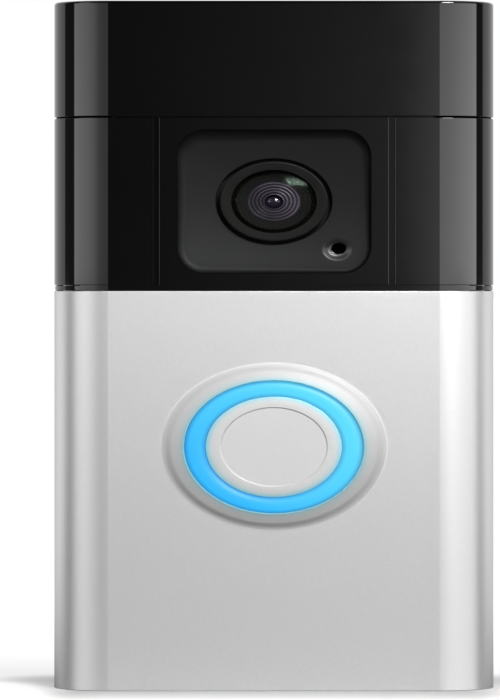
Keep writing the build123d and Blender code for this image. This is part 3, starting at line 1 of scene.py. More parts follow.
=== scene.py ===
import math
import bmesh
import bpy
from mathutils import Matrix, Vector


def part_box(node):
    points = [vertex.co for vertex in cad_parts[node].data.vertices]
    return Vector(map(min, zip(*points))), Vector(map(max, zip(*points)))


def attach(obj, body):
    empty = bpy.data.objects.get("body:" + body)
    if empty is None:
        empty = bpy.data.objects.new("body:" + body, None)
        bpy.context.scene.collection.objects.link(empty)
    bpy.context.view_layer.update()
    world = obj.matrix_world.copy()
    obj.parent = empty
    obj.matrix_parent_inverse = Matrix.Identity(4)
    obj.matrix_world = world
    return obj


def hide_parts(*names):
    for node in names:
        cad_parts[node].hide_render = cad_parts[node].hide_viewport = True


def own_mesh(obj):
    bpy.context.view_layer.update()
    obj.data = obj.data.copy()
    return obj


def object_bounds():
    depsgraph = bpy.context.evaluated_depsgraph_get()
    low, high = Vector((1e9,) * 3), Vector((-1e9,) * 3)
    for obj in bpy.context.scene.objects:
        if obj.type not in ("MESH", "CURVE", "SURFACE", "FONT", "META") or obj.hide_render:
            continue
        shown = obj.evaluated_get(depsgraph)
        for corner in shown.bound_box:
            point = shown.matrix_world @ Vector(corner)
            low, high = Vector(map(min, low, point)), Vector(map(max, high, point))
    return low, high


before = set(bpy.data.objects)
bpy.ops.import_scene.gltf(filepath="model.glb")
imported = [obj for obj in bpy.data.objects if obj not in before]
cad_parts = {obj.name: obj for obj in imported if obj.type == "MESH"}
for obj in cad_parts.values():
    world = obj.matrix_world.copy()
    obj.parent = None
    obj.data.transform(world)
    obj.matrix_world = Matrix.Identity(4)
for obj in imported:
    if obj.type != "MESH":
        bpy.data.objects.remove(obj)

cad_low, cad_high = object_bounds()

# Lengths are in millimetres where nothing else is said; MM turns them into the frame's metres
MM = 0.001
OVAL = 1.354  # width over height of the lens, the light and the button
SEGMENTS = 160  # points round a turned piece
CREASE = 28  # degrees; edges that turn by more stay sharp
FRONT_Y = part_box("camera_panel")[0].y  # the front plane, in metres


def middle_z(node):
    """Height of a node's middle, in metres."""
    low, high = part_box(node)
    return (low.z + high.z) / 2


def half_height(node):
    """Half of a node's height."""
    low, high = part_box(node)
    return (high.z - low.z) / 2 / MM


def back_rise(node):
    """How far a node's back lies out of the front plane; negative is behind it."""
    return (FRONT_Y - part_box(node)[1].y) / MM


def front_rise(node):
    """How far a node's front lies out of the front plane."""
    return (FRONT_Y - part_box(node)[0].y) / MM


# Light and its collar
BUTTON_Z = middle_z("halo")
HALO_OUT_R = half_height("halo")
HALO_IN_R = 9.5
COLLAR_TOP = front_rise("button_skirt")
COLLAR_GAP = 0.07  # from the light to the collar
COLLAR_LIP = 0.14  # rounding beside the light
COLLAR_NECK_R = 15.05  # the part that sits in the plate's hole
CROWN_R = 14.3  # where the sloping crown turns down
CROWN_LOW = 0.82  # rise of that edge
CROWN_TURN = [(-0.15, 0.05), (0.0, 0.0), (0.12, -0.1)]  # points round that edge, from the edge
FOOT_IN_R = 14.95
FOOT_OUT_R = 15.9
FOOT_HIGH = 0.3
FOOT_TURN = 0.1  # rounding above the foot
FOOT_THIN = 0.02  # rise of the foot's end, and how far it reaches behind the front plane
FOOT_BEND = 2.4  # power of the foot's hollow curve
FOOT_STEPS = 12

# Button and the seal behind it
CAP_TOP = front_rise("button_cap")
CAP_R = half_height("button_cap")
CAP_OVER = 0.07  # how far the rim reaches past the solid towards the light
CAP_SOFT = 0.06  # rounding of the rim
CAP_WALL = 1.15  # from the solid's edge to the hollow behind
CAP_STEP_R = 7.28  # edge of the sunk middle
CAP_STEP = 0.28  # depth of the sunk middle
CAP_STEP_IN = 0.3
CAP_STEP_SLOPE = 0.2
CAP_STEP_OUT = 0.5
SEAL_BORE_R = 3.0
SEAL_FOLD = 0.6  # depth of the fold

# Lens trim and cover glass
LENS_Z = middle_z("lens_window")
TRIM_TOP = 0.1  # rise of the trim
TRIM_FLANGE = 1.5  # width of the flange behind the pan
TRIM_R = half_height("lens_bezel") - TRIM_FLANGE
TRIM_SOFT = 0.16  # rounding of the outer edge
TRIM_LAP = 0.45  # how far the trim covers the glass
TRIM_SEAT_WIDE = 0.55  # from the opening to the wall of the glass's seat
TRIM_SEAT_HIGH = 0.75  # above the glass's back
TRIM_FACE_IN = 0.4
TRIM_FACE_FALL = 0.01
TRIM_FALL = 0.08  # how much lower the trim is at the glass
DOME_INSET = 0.66  # from the glass's rim to the dome
DOME_EDGE = 0.9  # from the glass's back to the dome's edge
DOME_RIM = 0.15  # how much lower the flat rim is
DOME_OVER = 0.42  # how far the glass stands over the trim
DOME_STEPS = 24

# Rings behind the glass and the inner lens
RINGS = 4
RING_OUT_R = 3.44
RING_IN_R = 1.34
RING_PITCH = (RING_OUT_R - RING_IN_R) / RINGS
RING_STEPS = 14
RING_RIDGE = 0.16  # height of a ridge
RING_DROP = 0.8  # from the outermost ring to the innermost
RING_SUNK = 0.2  # how far the outermost ring lies behind the rim
RING_MARGIN = 0.3
RING_RIM_IN = 0.4
RING_RIM_FALL = 0.05
FIELD_R = 5.25  # of the dark field outside the rings
FIELD_START = 0.25  # from the outermost ring
FIELD_FADE = 0.1
EYE_GAP = 0.04  # from the innermost ring to the inner lens
EYE_HIGH = 0.75
EYE_BEVEL = 0.3
EYE_STEPS = 16

# Dish round the lens, measured from the lens, and the microphone's dimple in it
PAN_X = 18.25
PAN_UP = 13.45
PAN_R = 5.2
PAN_HOLE_R = 8.14
PAN_EDGE = 0.04  # depth at the outer edge
PAN_DEEP = 0.75  # added inside the soft wall
PAN_BOWL = 0.4  # added there at the height of the lens
PAN_WALL = 1.9  # width of the soft wall
PAN_WALL_UP = 0.7  # added to it at the top
PAN_WALL_X = 0.5  # taken from it at the right
PAN_WALL_BEND = 3  # power of its curve
PAN_LIP = 0.3  # how far the shell turns down at the lens hole
PAN_LIP_INSET = 0.985
PAN_POINTS = 480
PAN_RINGS = 80
MIC_X = 11.9
MIC_UP = -9.0
MIC_DISH_R = 2.15
MIC_DISH_DEEP = 0.7
MIC_HOLE_R = 1.05
MIC_HOLE_X = 0.28  # from the dimple's middle
MIC_HOLE_UP = 0.19
MIC_HOLE_DEEP = 0.9
MIC_HOLE_SOFT = 0.2

# Levels of the finishes, and where they change
MOULDED_GRAIN = 0.12
MOULDED_ROUGH_SPREAD = 0.06
METAL_GRAIN = 0.3
METAL_DEPTH = 0.003
METAL_SPREAD = 0.06
METAL_ROUGH_SPREAD = 0.05
GLOSS = 0.5  # specular level of the gloss black
GLOSS_ROUGH = 0.04
DULL_ROUGH = 0.6
GAP_EDGE = 0.7  # from the middle of an upright gap, as far as a panel's edge is duller
GAP_EDGE_FADE = 0.15
CAMERA_EDGE_LEVEL = 0.35
LEFT_EDGE_LEVEL = 0.02
SEAM_FADE = 0.2
FLAT_HALF = 30.8  # half the width of the flat front
CORNER_FADE = 1.0
LIGHT_REACH = 1.3  # of the light's change of tone, in outer radii
SILVER_TINT = 0.55
SILVER_SPREAD = 0.02
SILVER_ROUGH_SPREAD = 0.03
PLATE_LEVEL = 0.82
PLATE_ROUGH = 0.39
COLLAR_LEVEL = 0.405
COLLAR_ROUGH = 0.56
COLLAR_SHARE = 0.22  # how far the collar's finish is metal, not paint
COLLAR_PAINT_R = 15.5
CAP_LEVEL = 0.67
CAP_SHARE = 0.6
PAINTED_GLOW_REACH = 1.2  # of the light's painted glow and cyan tint on the silver
PAN_PAINTED_LIGHT_X = 0.35  # painted light: how the dish's base colour darkens sideways and upwards, paler at the lower left
PAN_PAINTED_LIGHT_UP = 0.75
PAN_PAINTED_LIGHT_END = 0.9
PAN_PAINTED_SHADE = 2.4  # width of the painted shade along the dish's rim
PAN_SHEEN = 0.13
PAN_ROUGH = 0.54
MIC_SHEEN = 0.8
MIC_ROUGH = 0.42
MIC_FADE = 0.3
# painted shade in the microphone's hole, inside and just outside its edge
MIC_HOLE_SHADE_IN = 0.1
MIC_HOLE_SHADE_OUT = 0.05
GLASS_TINT_IN_R = 2.0
GLASS_TINT_OUT_R = 6.0

# The photograph's frame and where the body lies in it, in pixels
PHOTO_WIDE = 500
PHOTO_HIGH = 700
BODY_MID_PX = 273.9
BODY_TOP_PX = 0.4
MM_PER_PX = 0.1875

# Camera: distance and height in metres
CAMERA_AWAY = 1.0
CAMERA_Z = 0.076
CAMERA_NEAR = 0.01
SENSOR = 36.0  # millimetres

# Sky: levels by azimuth in degrees, 0 towards the camera and positive to its right
SKY_PEAK = 5.0
SKY_AZIMUTHS = [
    (-180, 1.0),
    (-106, 1.0),
    (-104, 0.12),
    (-78, 0.12),
    (-76, 3.2),
    (-47, 2.6),
    (-33, 2.05),
    (-20, 1.05),
    (-4.6, 0.78),
    (-4.2, 0.04),
    (-1.8, 0.05),
    (0, 0.17),
    (2.0, 0.4),
    (2.6, 2.6),
    (30, 3.2),
    (48, 3.8),
    (84, 4.5),
    (86, 0.12),
    (104, 0.12),
    (106, 1.0),
    (180, 1.0),
]
SKY_TALL_LEFT = 0.14  # height of the panels, as the slope up from the horizon
SKY_TALL_RIGHT = 0.105
SKY_MIDDLE = 0.1  # where one height turns into the other, in radians to each side
SKY_ABOVE = 0.16  # share of a panel's level that is left high up
SKY_BACK_Y = 0.3  # y of a direction past which mirrors see plain white
SKY_BACK_FADE = 0.02

# Lamps: places and sizes in metres, spread in degrees
LAMPS = {
    "key": {
        "place": (0.22, -0.50, 0.43),
        "aim": (0.03, 0.0, 0.13),
        "size": (0.22, 0.13),
        "spread": 40,
        "watts": 0.38,
    },
    "left": {
        "place": (-0.55, -0.45, 0.40),
        "aim": (0.0, 0.0, 0.05),
        "size": (0.4, 0.4),
        "spread": 180,
        "watts": 0.8,
    },
}

# Floor: lengths in metres; the lifts are levels by the share of the fade from the object; the low lifts
# near the object are a painted shade
FLOOR_HALF = 30.0
FLOOR_GAP = 0.02 * MM
FLOOR_TONE = 0.22
FLOOR_SPREAD = 0.01
FLOOR_CLOUD = 300  # size of its changes of tone, in millimetres
FLOOR_LIFTS = [(0.0, 0.25), (0.055, 0.45), (0.07, 0.54), (0.1, 0.74), (0.35, 0.87), (1.0, 1.0)]
FLOOR_FADE = 0.2
FLOOR_BACK = 0.2  # how far behind the middle mirrors see the lift in full
FLOOR_SHADE_X = 0.036  # half the width of the painted shade
FLOOR_STRETCH_FRONT = 2.5  # how much sooner the painted shade ends sideways
FLOOR_STRETCH_BACK = 0.9


# Node trees
class Nodes:
    """Short ways to add and link the nodes of one node tree."""

    def __init__(self, tree):
        self.tree = tree

    def put(self, value, socket):
        """Links an output to a socket, or sets the socket to a plain value."""
        if isinstance(value, bpy.types.NodeSocket):
            self.tree.links.new(value, socket)
        else:
            socket.default_value = value

    def add(self, kind, inputs=None, **settings):
        node = self.tree.nodes.new("ShaderNode" + kind)
        for name, value in settings.items():
            setattr(node, name, value)
        for socket, value in (inputs or {}).items():
            self.put(value, node.inputs[socket])
        return node

    def math(self, operation, first, second=0.0):
        return self.add("Math", {0: first, 1: second}, operation=operation).outputs[0]

    def axis(self, vector, letter):
        return self.add("SeparateXYZ", {0: vector}).outputs[letter]

    def span(self, value, low, high, to_low=0.0, to_high=1.0):
        limits = {"From Min": low, "From Max": high, "To Min": to_low, "To Max": to_high}
        return self.add("MapRange", {"Value": value, **limits}).outputs["Result"]

    def ramp(self, value, stops):
        """Colour from a value between 0 and 1 by (place, colour) stops."""
        node = self.add("ValToRGB", {"Fac": value})
        band = node.color_ramp
        while len(band.elements) < len(stops):
            band.elements.new(1.0)
        for element, (place, colour) in zip(band.elements, stops):
            element.position = place
            element.color = (*colour, 1.0)
        return node.outputs["Color"]

    def tint(self, first, second):
        """Two colours multiplied."""
        node = self.add("Mix", data_type="RGBA", blend_type="MULTIPLY")
        node.inputs["Factor"].default_value = 1.0
        self.put(first, node.inputs["A"])
        self.put(second, node.inputs["B"])
        return node.outputs["Result"]


class Finish(Nodes):
    """A material on one Principled shader, with procedural detail in the object's own space."""

    def __init__(self, name, **values):
        self.material = bpy.data.materials.new(name)
        self.material.use_nodes = True
        super().__init__(self.material.node_tree)
        self.shader = self.tree.nodes["Principled BSDF"]
        self.place = self.add("TexCoord").outputs["Object"]
        for socket, value in values.items():
            self.shader.inputs[socket.replace("_", " ")].default_value = value

    def link(self, output, socket):
        self.tree.links.new(output, self.shader.inputs[socket])

    def scaled(self, size, stretch=(1, 1, 1)):
        scale = [1 / (size * MM * s) for s in stretch]
        return self.add("Mapping", {"Vector": self.place, "Scale": scale}).outputs[0]

    def noise(self, size, detail=2.0, stretch=(1, 1, 1)):
        """Noise with features of about that size in millimetres, drawn out by stretch along each axis."""
        inputs = {"Vector": self.scaled(size, stretch), "Scale": 1.0, "Detail": detail}
        return self.add("TexNoise", inputs).outputs["Fac"]

    def cells(self, size, feature="F1"):
        inputs = {"Vector": self.scaled(size), "Scale": 1.0}
        return self.add("TexVoronoi", inputs, feature=feature).outputs["Distance"]

    def bands(self, pitch):
        """Stripes of that pitch in millimetres across the x axis."""
        inputs = {"Vector": self.scaled(pitch * 2 * math.pi), "Scale": math.pi / 10}
        return self.add("TexWave", inputs, bands_direction="X").outputs["Fac"]

    def radius(self, z, x=0.0):
        """Distance from the line out of the wall at x, z, in mm, with the sideways stretch taken out."""
        aside = self.math("SUBTRACT", self.axis(self.place, "X"), x * MM)
        across = self.math("DIVIDE", aside, OVAL * MM)
        up = self.math("DIVIDE", self.math("SUBTRACT", self.axis(self.place, "Z"), z), MM)
        squares = self.math("ADD", self.math("POWER", across, 2.0), self.math("POWER", up, 2.0))
        return self.math("SQRT", squares)

    def inset(self, z, half_x, half_up, corner):
        """Distance in from the edge of a rounded rectangle round x = 0 and height z, in millimetres."""
        across = self.math("DIVIDE", self.axis(self.place, "X"), MM)
        up = self.math("DIVIDE", self.math("SUBTRACT", self.axis(self.place, "Z"), z), MM)
        past = [
            self.math("SUBTRACT", self.math("ABSOLUTE", reach), half - corner)
            for reach, half in ((across, half_x), (up, half_up))
        ]
        squares = [self.math("POWER", self.math("MAXIMUM", value, 0.0), 2.0) for value in past]
        outside = self.math("SQRT", self.math("ADD", *squares))
        within = self.math("MINIMUM", self.math("MAXIMUM", *past), 0.0)
        return self.math("SUBTRACT", corner, self.math("ADD", outside, within))

    def bump(self, height, depth):
        """Relief of that depth in millimetres."""
        inputs = {"Strength": 1.0, "Distance": depth * MM, "Height": height}
        self.link(self.add("Bump", inputs).outputs["Normal"], "Normal")


# Finishes
def grey(level):
    return (level, level, level)


def shades(colour, spread):
    """A darker and a lighter shade of a colour."""
    return [tuple(min(1.0, c * (1 + side * spread)) for c in colour) for side in (-1, 1)]


def moulded(name, colour, rough, depth=0.006, spread=0.18, **values):
    """Moulded plastic or rubber: fine grain, slight changes of tone and of gloss."""
    finish = Finish(name, **values)
    dark, light = shades(colour, spread)
    finish.link(finish.ramp(finish.noise(9, 3.0), [(0.3, dark), (0.7, light)]), "Base Color")
    low, high = rough - MOULDED_ROUGH_SPREAD, rough + MOULDED_ROUGH_SPREAD
    finish.link(finish.span(finish.noise(2), 0.3, 0.7, low, high), "Roughness")
    finish.bump(finish.noise(MOULDED_GRAIN, 3.0), depth)
    return finish.material


def metal(name, colour, rough, stretch=(1, 1, 1)):
    """Bare or plated metal with a fine finish."""
    finish = Finish(name, Metallic=1.0)
    dark, light = shades(colour, METAL_SPREAD)
    tone = finish.noise(METAL_GRAIN, 3.0, stretch)
    finish.link(finish.ramp(tone, [(0.3, dark), (0.7, light)]), "Base Color")
    low, high = rough - METAL_ROUGH_SPREAD, rough + METAL_ROUGH_SPREAD
    finish.link(finish.span(tone, 0.3, 0.7, low, high), "Roughness")
    finish.bump(tone, METAL_DEPTH)
    return finish.material


def gloss_black(name):
    """Piano black plastic with the faintest waviness."""
    finish = Finish(name)
    tone = finish.noise(20)
    finish.link(finish.ramp(tone, [(0.3, grey(0.001)), (0.7, grey(0.0014))]), "Base Color")
    finish.link(finish.span(finish.noise(6), 0.3, 0.7, 0.03, 0.045), "Roughness")
    finish.bump(finish.noise(8), 0.001)
    return finish


def panel_black(name, edge_level):
    """Piano black of a front panel, duller on its fine edges along the upright gaps."""
    finish = gloss_black(name)
    gap_x = (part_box("camera_panel")[1].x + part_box("right_panel")[0].x) / 2
    gap_far = (GAP_EDGE + GAP_EDGE_FADE) * MM
    beside = finish.math("SUBTRACT", finish.math("ABSOLUTE", finish.axis(finish.place, "X")), gap_x)
    near = finish.span(finish.math("ABSOLUTE", beside), GAP_EDGE * MM, gap_far, edge_level, GLOSS)
    finish.link(near, "Specular IOR Level")
    return finish.material


def frame_black():
    """Piano black on the chin strip and in the gaps, dull in the seam under the cap at the corners."""
    finish = gloss_black("frame_black")
    seam_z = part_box("camera_panel")[1].z
    seam = finish.span(finish.axis(finish.place, "Z"), seam_z - SEAM_FADE * MM, seam_z)
    beside = finish.math("ABSOLUTE", finish.axis(finish.place, "X"))
    corner = finish.span(beside, (FLAT_HALF - CORNER_FADE) * MM, FLAT_HALF * MM)
    dull = finish.math("MULTIPLY", seam, corner)
    finish.link(finish.span(dull, 0.0, 1.0, GLOSS, 0.0), "Specular IOR Level")
    finish.link(finish.span(dull, 0.0, 1.0, GLOSS_ROUGH, DULL_ROUGH), "Roughness")
    return finish.material


def light_guide():
    """Frosted light guide lit blue, paler towards the top right, deeper at its edges."""
    finish = Finish("light_guide", Roughness=0.4, Emission_Strength=1.0, Specular_IOR_Level=0.2)
    finish.shader.inputs["Base Color"].default_value = (0.02, 0.05, 0.08, 1)
    across = finish.span(finish.radius(BUTTON_Z), HALO_IN_R, HALO_OUT_R)
    edge = finish.math("MULTIPLY", finish.math("ABSOLUTE", finish.math("SUBTRACT", across, 0.5)), 2.0)
    slope = finish.math("ADD", finish.axis(finish.place, "X"), finish.axis(finish.place, "Z"))
    reach = HALO_OUT_R * MM * LIGHT_REACH
    place = finish.span(slope, BUTTON_Z - reach, BUTTON_Z + reach)
    body = finish.ramp(place, [(0.0, (0.015, 0.45, 0.95)), (1.0, (0.085, 0.66, 0.95))])
    fade = finish.ramp(edge, [(0.55, grey(1)), (0.85, (0.9, 0.72, 0.75)), (1.0, (0.9, 0.58, 0.6))])
    finish.link(finish.tint(body, fade), "Emission Color")
    return finish.material


def silver(name, level, share=1.0):
    """Satin silver: fine grain, metal to a share, with the light's cyan glow painted on near it as tint and
    emission.
    """
    finish = Finish(name, Metallic=share)
    finish.shader.inputs["Specular Tint"].default_value = (*grey(SILVER_TINT), 1)
    tone = finish.noise(0.35, 4.0)
    dark, light = grey(level - SILVER_SPREAD), grey(level + SILVER_SPREAD)
    satin = finish.ramp(tone, [(0.25, dark), (0.75, light)])
    # painted light from the halo: cyan tint in the base colour and glow in the emission, fading away from
    # the light
    from_middle = finish.math("SUBTRACT", finish.radius(BUTTON_Z), (HALO_IN_R + HALO_OUT_R) / 2)
    half = (HALO_OUT_R - HALO_IN_R) / 2
    away = finish.span(finish.math("ABSOLUTE", from_middle), half, half + PAINTED_GLOW_REACH)
    stops = [(0.0, (0.3, 0.8, 1.0)), (0.25, (0.55, 0.9, 1.0))]
    stops += [(0.6, (0.85, 0.98, 1.0)), (1.0, grey(1.0))]
    finish.link(finish.tint(satin, finish.ramp(away, stops)), "Base Color")
    painted_halo_glow = finish.ramp(away, [(0.0, (0.03, 0.14, 0.2)), (0.3, (0.01, 0.03, 0.04)), (1.0, grey(0.0))])
    finish.link(painted_halo_glow, "Emission Color")
    finish.shader.inputs["Emission Strength"].default_value = 1.0
    low, high = PLATE_ROUGH - SILVER_ROUGH_SPREAD, PLATE_ROUGH + SILVER_ROUGH_SPREAD
    finish.link(finish.span(tone, 0.25, 0.75, low, high), "Roughness")
    finish.bump(finish.noise(0.16), 0.0025)
    return finish


def collar_silver():
    """Satin silver, more like paint on the collar, that turns into the plate's finish at the foot."""
    finish = silver("collar_silver", PLATE_LEVEL)
    out = finish.span(finish.radius(BUTTON_Z), COLLAR_PAINT_R, FOOT_OUT_R)
    finish.link(finish.span(out, 0.0, 1.0, COLLAR_SHARE, 1.0), "Metallic")
    finish.link(finish.span(out, 0.0, 1.0, COLLAR_ROUGH, PLATE_ROUGH), "Roughness")
    satin = finish.shader.inputs["Base Color"].links[0].from_socket
    dim = finish.ramp(out, [(0.0, grey(COLLAR_LEVEL / PLATE_LEVEL)), (1.0, grey(1.0))])
    finish.link(finish.tint(satin, dim), "Base Color")
    return finish.material


def cover_glass():
    """Clear glass with a coating that leaves a faint green glint."""
    finish = Finish("cover_glass", Roughness=0.12, IOR=1.5, Alpha=0.07, Specular_IOR_Level=0.4)
    finish.shader.inputs["Specular Tint"].default_value = (0.72, 1.0, 0.8, 1)
    rim = finish.span(finish.radius(LENS_Z), GLASS_TINT_IN_R, GLASS_TINT_OUT_R)
    stops = [(0.0, (0.004, 0.003, 0.006)), (1.0, (0.012, 0.013, 0.01))]
    finish.link(finish.ramp(rim, stops), "Base Color")
    return finish.material


def pan_satin():
    """Satin black of the dish: painted light, paler at the lower left; painted shade at its rim and in the
    microphone's hole.
    """
    finish = Finish("pan_satin")
    # painted light: base colour darker towards the top and the right, paler at the lower left
    aside = finish.math("MULTIPLY", finish.axis(finish.place, "X"), -PAN_PAINTED_LIGHT_X / (PAN_X * MM))
    drop = finish.math("SUBTRACT", LENS_Z, finish.axis(finish.place, "Z"))
    along = finish.math("ADD", aside, finish.math("MULTIPLY", drop, PAN_PAINTED_LIGHT_UP / (PAN_UP * MM)))
    stops = [(0.0, (0.002, 0.002, 0.0021)), (0.35, (0.004, 0.004, 0.0042))]
    stops += [(0.65, (0.009, 0.0092, 0.0096)), (1.0, (0.02, 0.0206, 0.0213))]
    tone = finish.ramp(finish.span(along, -PAN_PAINTED_LIGHT_END, PAN_PAINTED_LIGHT_END), stops)
    grain = finish.ramp(finish.noise(6, 3.0), [(0.3, grey(0.9)), (0.7, grey(1.0))])
    mic = finish.radius(LENS_Z + MIC_UP * MM, MIC_X)
    pit = finish.radius(LENS_Z + (MIC_UP + MIC_HOLE_UP) * MM, MIC_X + MIC_HOLE_X)
    # painted shade: base colour darkened in the microphone's hole
    hole = finish.span(pit, MIC_HOLE_R - MIC_HOLE_SHADE_IN, MIC_HOLE_R + MIC_HOLE_SHADE_OUT)
    painted_hole_shade = finish.ramp(hole, [(0.0, grey(0.03)), (1.0, grey(1.0))])
    # painted shade: base colour darkened along the dish's rim
    inset = finish.span(finish.inset(LENS_Z, PAN_X, PAN_UP, PAN_R), 0.0, PAN_PAINTED_SHADE)
    painted_shade_stops = [(0.0, 0.05), (0.2, 0.36), (0.5, 0.7), (1.0, 1.0)]
    rim = finish.ramp(inset, [(place, grey(level)) for place, level in painted_shade_stops])
    finish.link(finish.tint(finish.tint(tone, grain), finish.tint(painted_hole_shade, rim)), "Base Color")
    sheen = finish.span(mic, MIC_DISH_R - MIC_FADE, MIC_DISH_R, MIC_SHEEN, PAN_SHEEN)
    finish.link(finish.math("MULTIPLY", hole, sheen), "Specular IOR Level")
    rough = finish.span(mic, MIC_DISH_R - MIC_FADE, MIC_DISH_R, MIC_ROUGH, PAN_ROUGH)
    finish.link(rough, "Roughness")
    finish.bump(finish.noise(0.12, 3.0), 0.004)
    return finish.material


def ring_coat():
    """Blackened rings: violet crests as painted highlight, dark grooves as painted shade, painted light
    lighter to the top right; a black field with an olive cast outside them.
    """
    finish = Finish("ring_coat")
    radius = finish.radius(LENS_Z)
    inward = finish.math("SUBTRACT", radius, RING_OUT_R)
    turn = finish.math("MULTIPLY", inward, 2 * math.pi / RING_PITCH)
    # painted highlight on the crests and painted shade in the grooves
    painted_crest_highlight = finish.span(finish.math("COSINE", turn), -0.1, 1.0)
    rings = finish.ramp(painted_crest_highlight, [(0.0, (0.022, 0.019, 0.026)), (1.0, (0.105, 0.088, 0.115))])
    # painted light: the rings darker towards the lower left
    slope = finish.math("ADD", finish.axis(finish.place, "X"), finish.axis(finish.place, "Z"))
    reach = RING_OUT_R * MM
    lit = finish.span(slope, LENS_Z - reach, LENS_Z + reach)
    rings = finish.tint(rings, finish.ramp(lit, [(0.0, grey(0.3)), (1.0, grey(1.0))]))
    field_r = RING_OUT_R + FIELD_START
    field = finish.span(radius, field_r, field_r + FIELD_FADE)
    mix = finish.add("Mix", {"Factor": field}, data_type="RGBA")
    finish.put(rings, mix.inputs["A"])
    mix.inputs["B"].default_value = (0.003, 0.0032, 0.0027, 1)
    brink = finish.span(radius, FIELD_R - FIELD_FADE, FIELD_R)
    brink = finish.ramp(brink, [(0.0, grey(1.0)), (1.0, grey(0.05))])
    finish.link(finish.tint(mix.outputs["Result"], brink), "Base Color")
    finish.link(finish.span(radius, FIELD_R - FIELD_FADE, FIELD_R, 0.12, 0.0), "Specular IOR Level")
    finish.link(finish.span(finish.noise(0.8), 0.3, 0.7, 0.28, 0.36), "Roughness")
    finish.bump(finish.noise(0.1), 0.002)
    return finish.material


def eye_glass():
    """Deep violet coating of the inner lens."""
    finish = Finish("eye_glass", Roughness=0.12, Coat_Weight=1.0, Coat_Roughness=0.03)
    finish.shader.inputs["Specular Tint"].default_value = (0.85, 0.8, 1.0, 1)
    inside = finish.span(finish.radius(LENS_Z), 0.0, RING_IN_R)
    stops = [(0.2, (0.006, 0.005, 0.010)), (1.0, (0.016, 0.011, 0.024))]
    finish.link(finish.ramp(inside, stops), "Base Color")
    return finish.material


def board():
    """Solder mask over copper tracks and pads."""
    finish = Finish("board_green", Roughness=0.35)
    tracks = finish.cells(2.6, "DISTANCE_TO_EDGE")
    green = finish.ramp(tracks, [(0.04, (0.04, 0.26, 0.10)), (0.09, (0.012, 0.11, 0.045))])
    pads = finish.ramp(finish.cells(1.7), [(0.10, (0.85, 0.66, 0.30)), (0.13, grey(1.0))])
    finish.link(finish.tint(green, pads), "Base Color")
    finish.bump(tracks, 0.02)
    return finish.material


def ribbon():
    """Amber film with copper conductors under it."""
    finish = Finish("ribbon_film", Roughness=0.28)
    lines = finish.bands(0.8)
    stops = [(0.35, (0.42, 0.16, 0.02)), (0.6, (0.72, 0.36, 0.10))]
    finish.link(finish.ramp(lines, stops), "Base Color")
    finish.bump(lines, 0.02)
    return finish.material


MATERIALS = {
    "gloss_black": gloss_black("gloss_black").material,
    "light_guide": light_guide(),
    "silver": silver("silver", PLATE_LEVEL).material,
    "button_silver": silver("button_silver", CAP_LEVEL, CAP_SHARE).material,
    "cover_glass": cover_glass(),
    "satin_black": pan_satin(),
    "bezel_black": moulded("bezel_black", (0.0035, 0.0035, 0.0032), 0.46, Specular_IOR_Level=0.12),
    "baffle_black": ring_coat(),
    "lens_glass": eye_glass(),
    "housing_black": moulded("housing_black", (0.018, 0.018, 0.019), 0.55, depth=0.012),
    "inner_black": moulded("inner_black", (0.015, 0.015, 0.016), 0.5),
    "inner_white": moulded("inner_white", (0.78, 0.77, 0.74), 0.45, spread=0.04),
    "setup_orange": moulded("setup_orange", (0.85, 0.22, 0.03), 0.4, spread=0.08),
    "seal_rubber": moulded("seal_rubber", (0.03, 0.03, 0.032), 0.8),
    "board_green": board(),
    "led_body": moulded("led_body", (0.8, 0.74, 0.45), 0.3, spread=0.08),
    "night_led_body": moulded("night_led_body", (0.05, 0.01, 0.015), 0.15),
    "sensor_chip": moulded("sensor_chip", (0.03, 0.03, 0.05), 0.2),
    "can_metal": metal("can_metal", (0.62, 0.62, 0.6), 0.35),
    "ribbon_film": ribbon(),
    "contact_gold": metal("contact_gold", (0.95, 0.7, 0.3), 0.25),
    "battery_black": moulded("battery_black", (0.022, 0.022, 0.023), 0.5),
    "cell_wrap": moulded("cell_wrap", (0.03, 0.16, 0.4), 0.35),
    "spring_steel": metal("spring_steel", (0.6, 0.6, 0.6), 0.3, stretch=(1, 1, 12)),
    "tab_grey": moulded("tab_grey", (0.12, 0.12, 0.125), 0.5),
    "magnet_steel": metal("magnet_steel", (0.5, 0.5, 0.52), 0.3),
    "cone_film": moulded("cone_film", (0.02, 0.02, 0.02), 0.6),
    "terminal_brass": metal("terminal_brass", (0.8, 0.6, 0.28), 0.3),
    "screw_steel": metal("screw_steel", (0.55, 0.55, 0.56), 0.3),
}

COLLAR_SILVER = collar_silver()
OWN_FINISHES = {
    "camera_panel": panel_black("camera_black", CAMERA_EDGE_LEVEL),
    "left_panel": panel_black("left_black", LEFT_EDGE_LEVEL),
    "front_frame": frame_black(),
}

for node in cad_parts.values():
    for slot in node.material_slots:
        slot.material = MATERIALS[slot.material.name.split(".")[0]]
for name, material in OWN_FINISHES.items():
    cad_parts[name].material_slots[0].material = material


# Pieces
def lofted(name, loops):
    """A closed mesh through loops of points, the last joined to the first; one point is a pole."""
    points = [point for loop in loops for point in loop]
    count = max(len(loop) for loop in loops)
    starts = [sum(len(loop) for loop in loops[:k]) for k in range(len(loops))]
    faces = []
    for k, loop in enumerate(loops):
        after = (k + 1) % len(loops)
        for n in range(count):
            here = [starts[k] + step % len(loop) for step in (n, n + 1)]
            there = [starts[after] + step % len(loops[after]) for step in (n + 1, n)]
            corners = list(dict.fromkeys(here + there))
            if len(corners) > 2:
                faces.append(corners)
    mesh = bpy.data.meshes.new(name)
    mesh.from_pydata(points, [], faces)
    shade(mesh)
    piece = bpy.data.objects.new(name, mesh)
    bpy.context.scene.collection.objects.link(piece)
    return piece


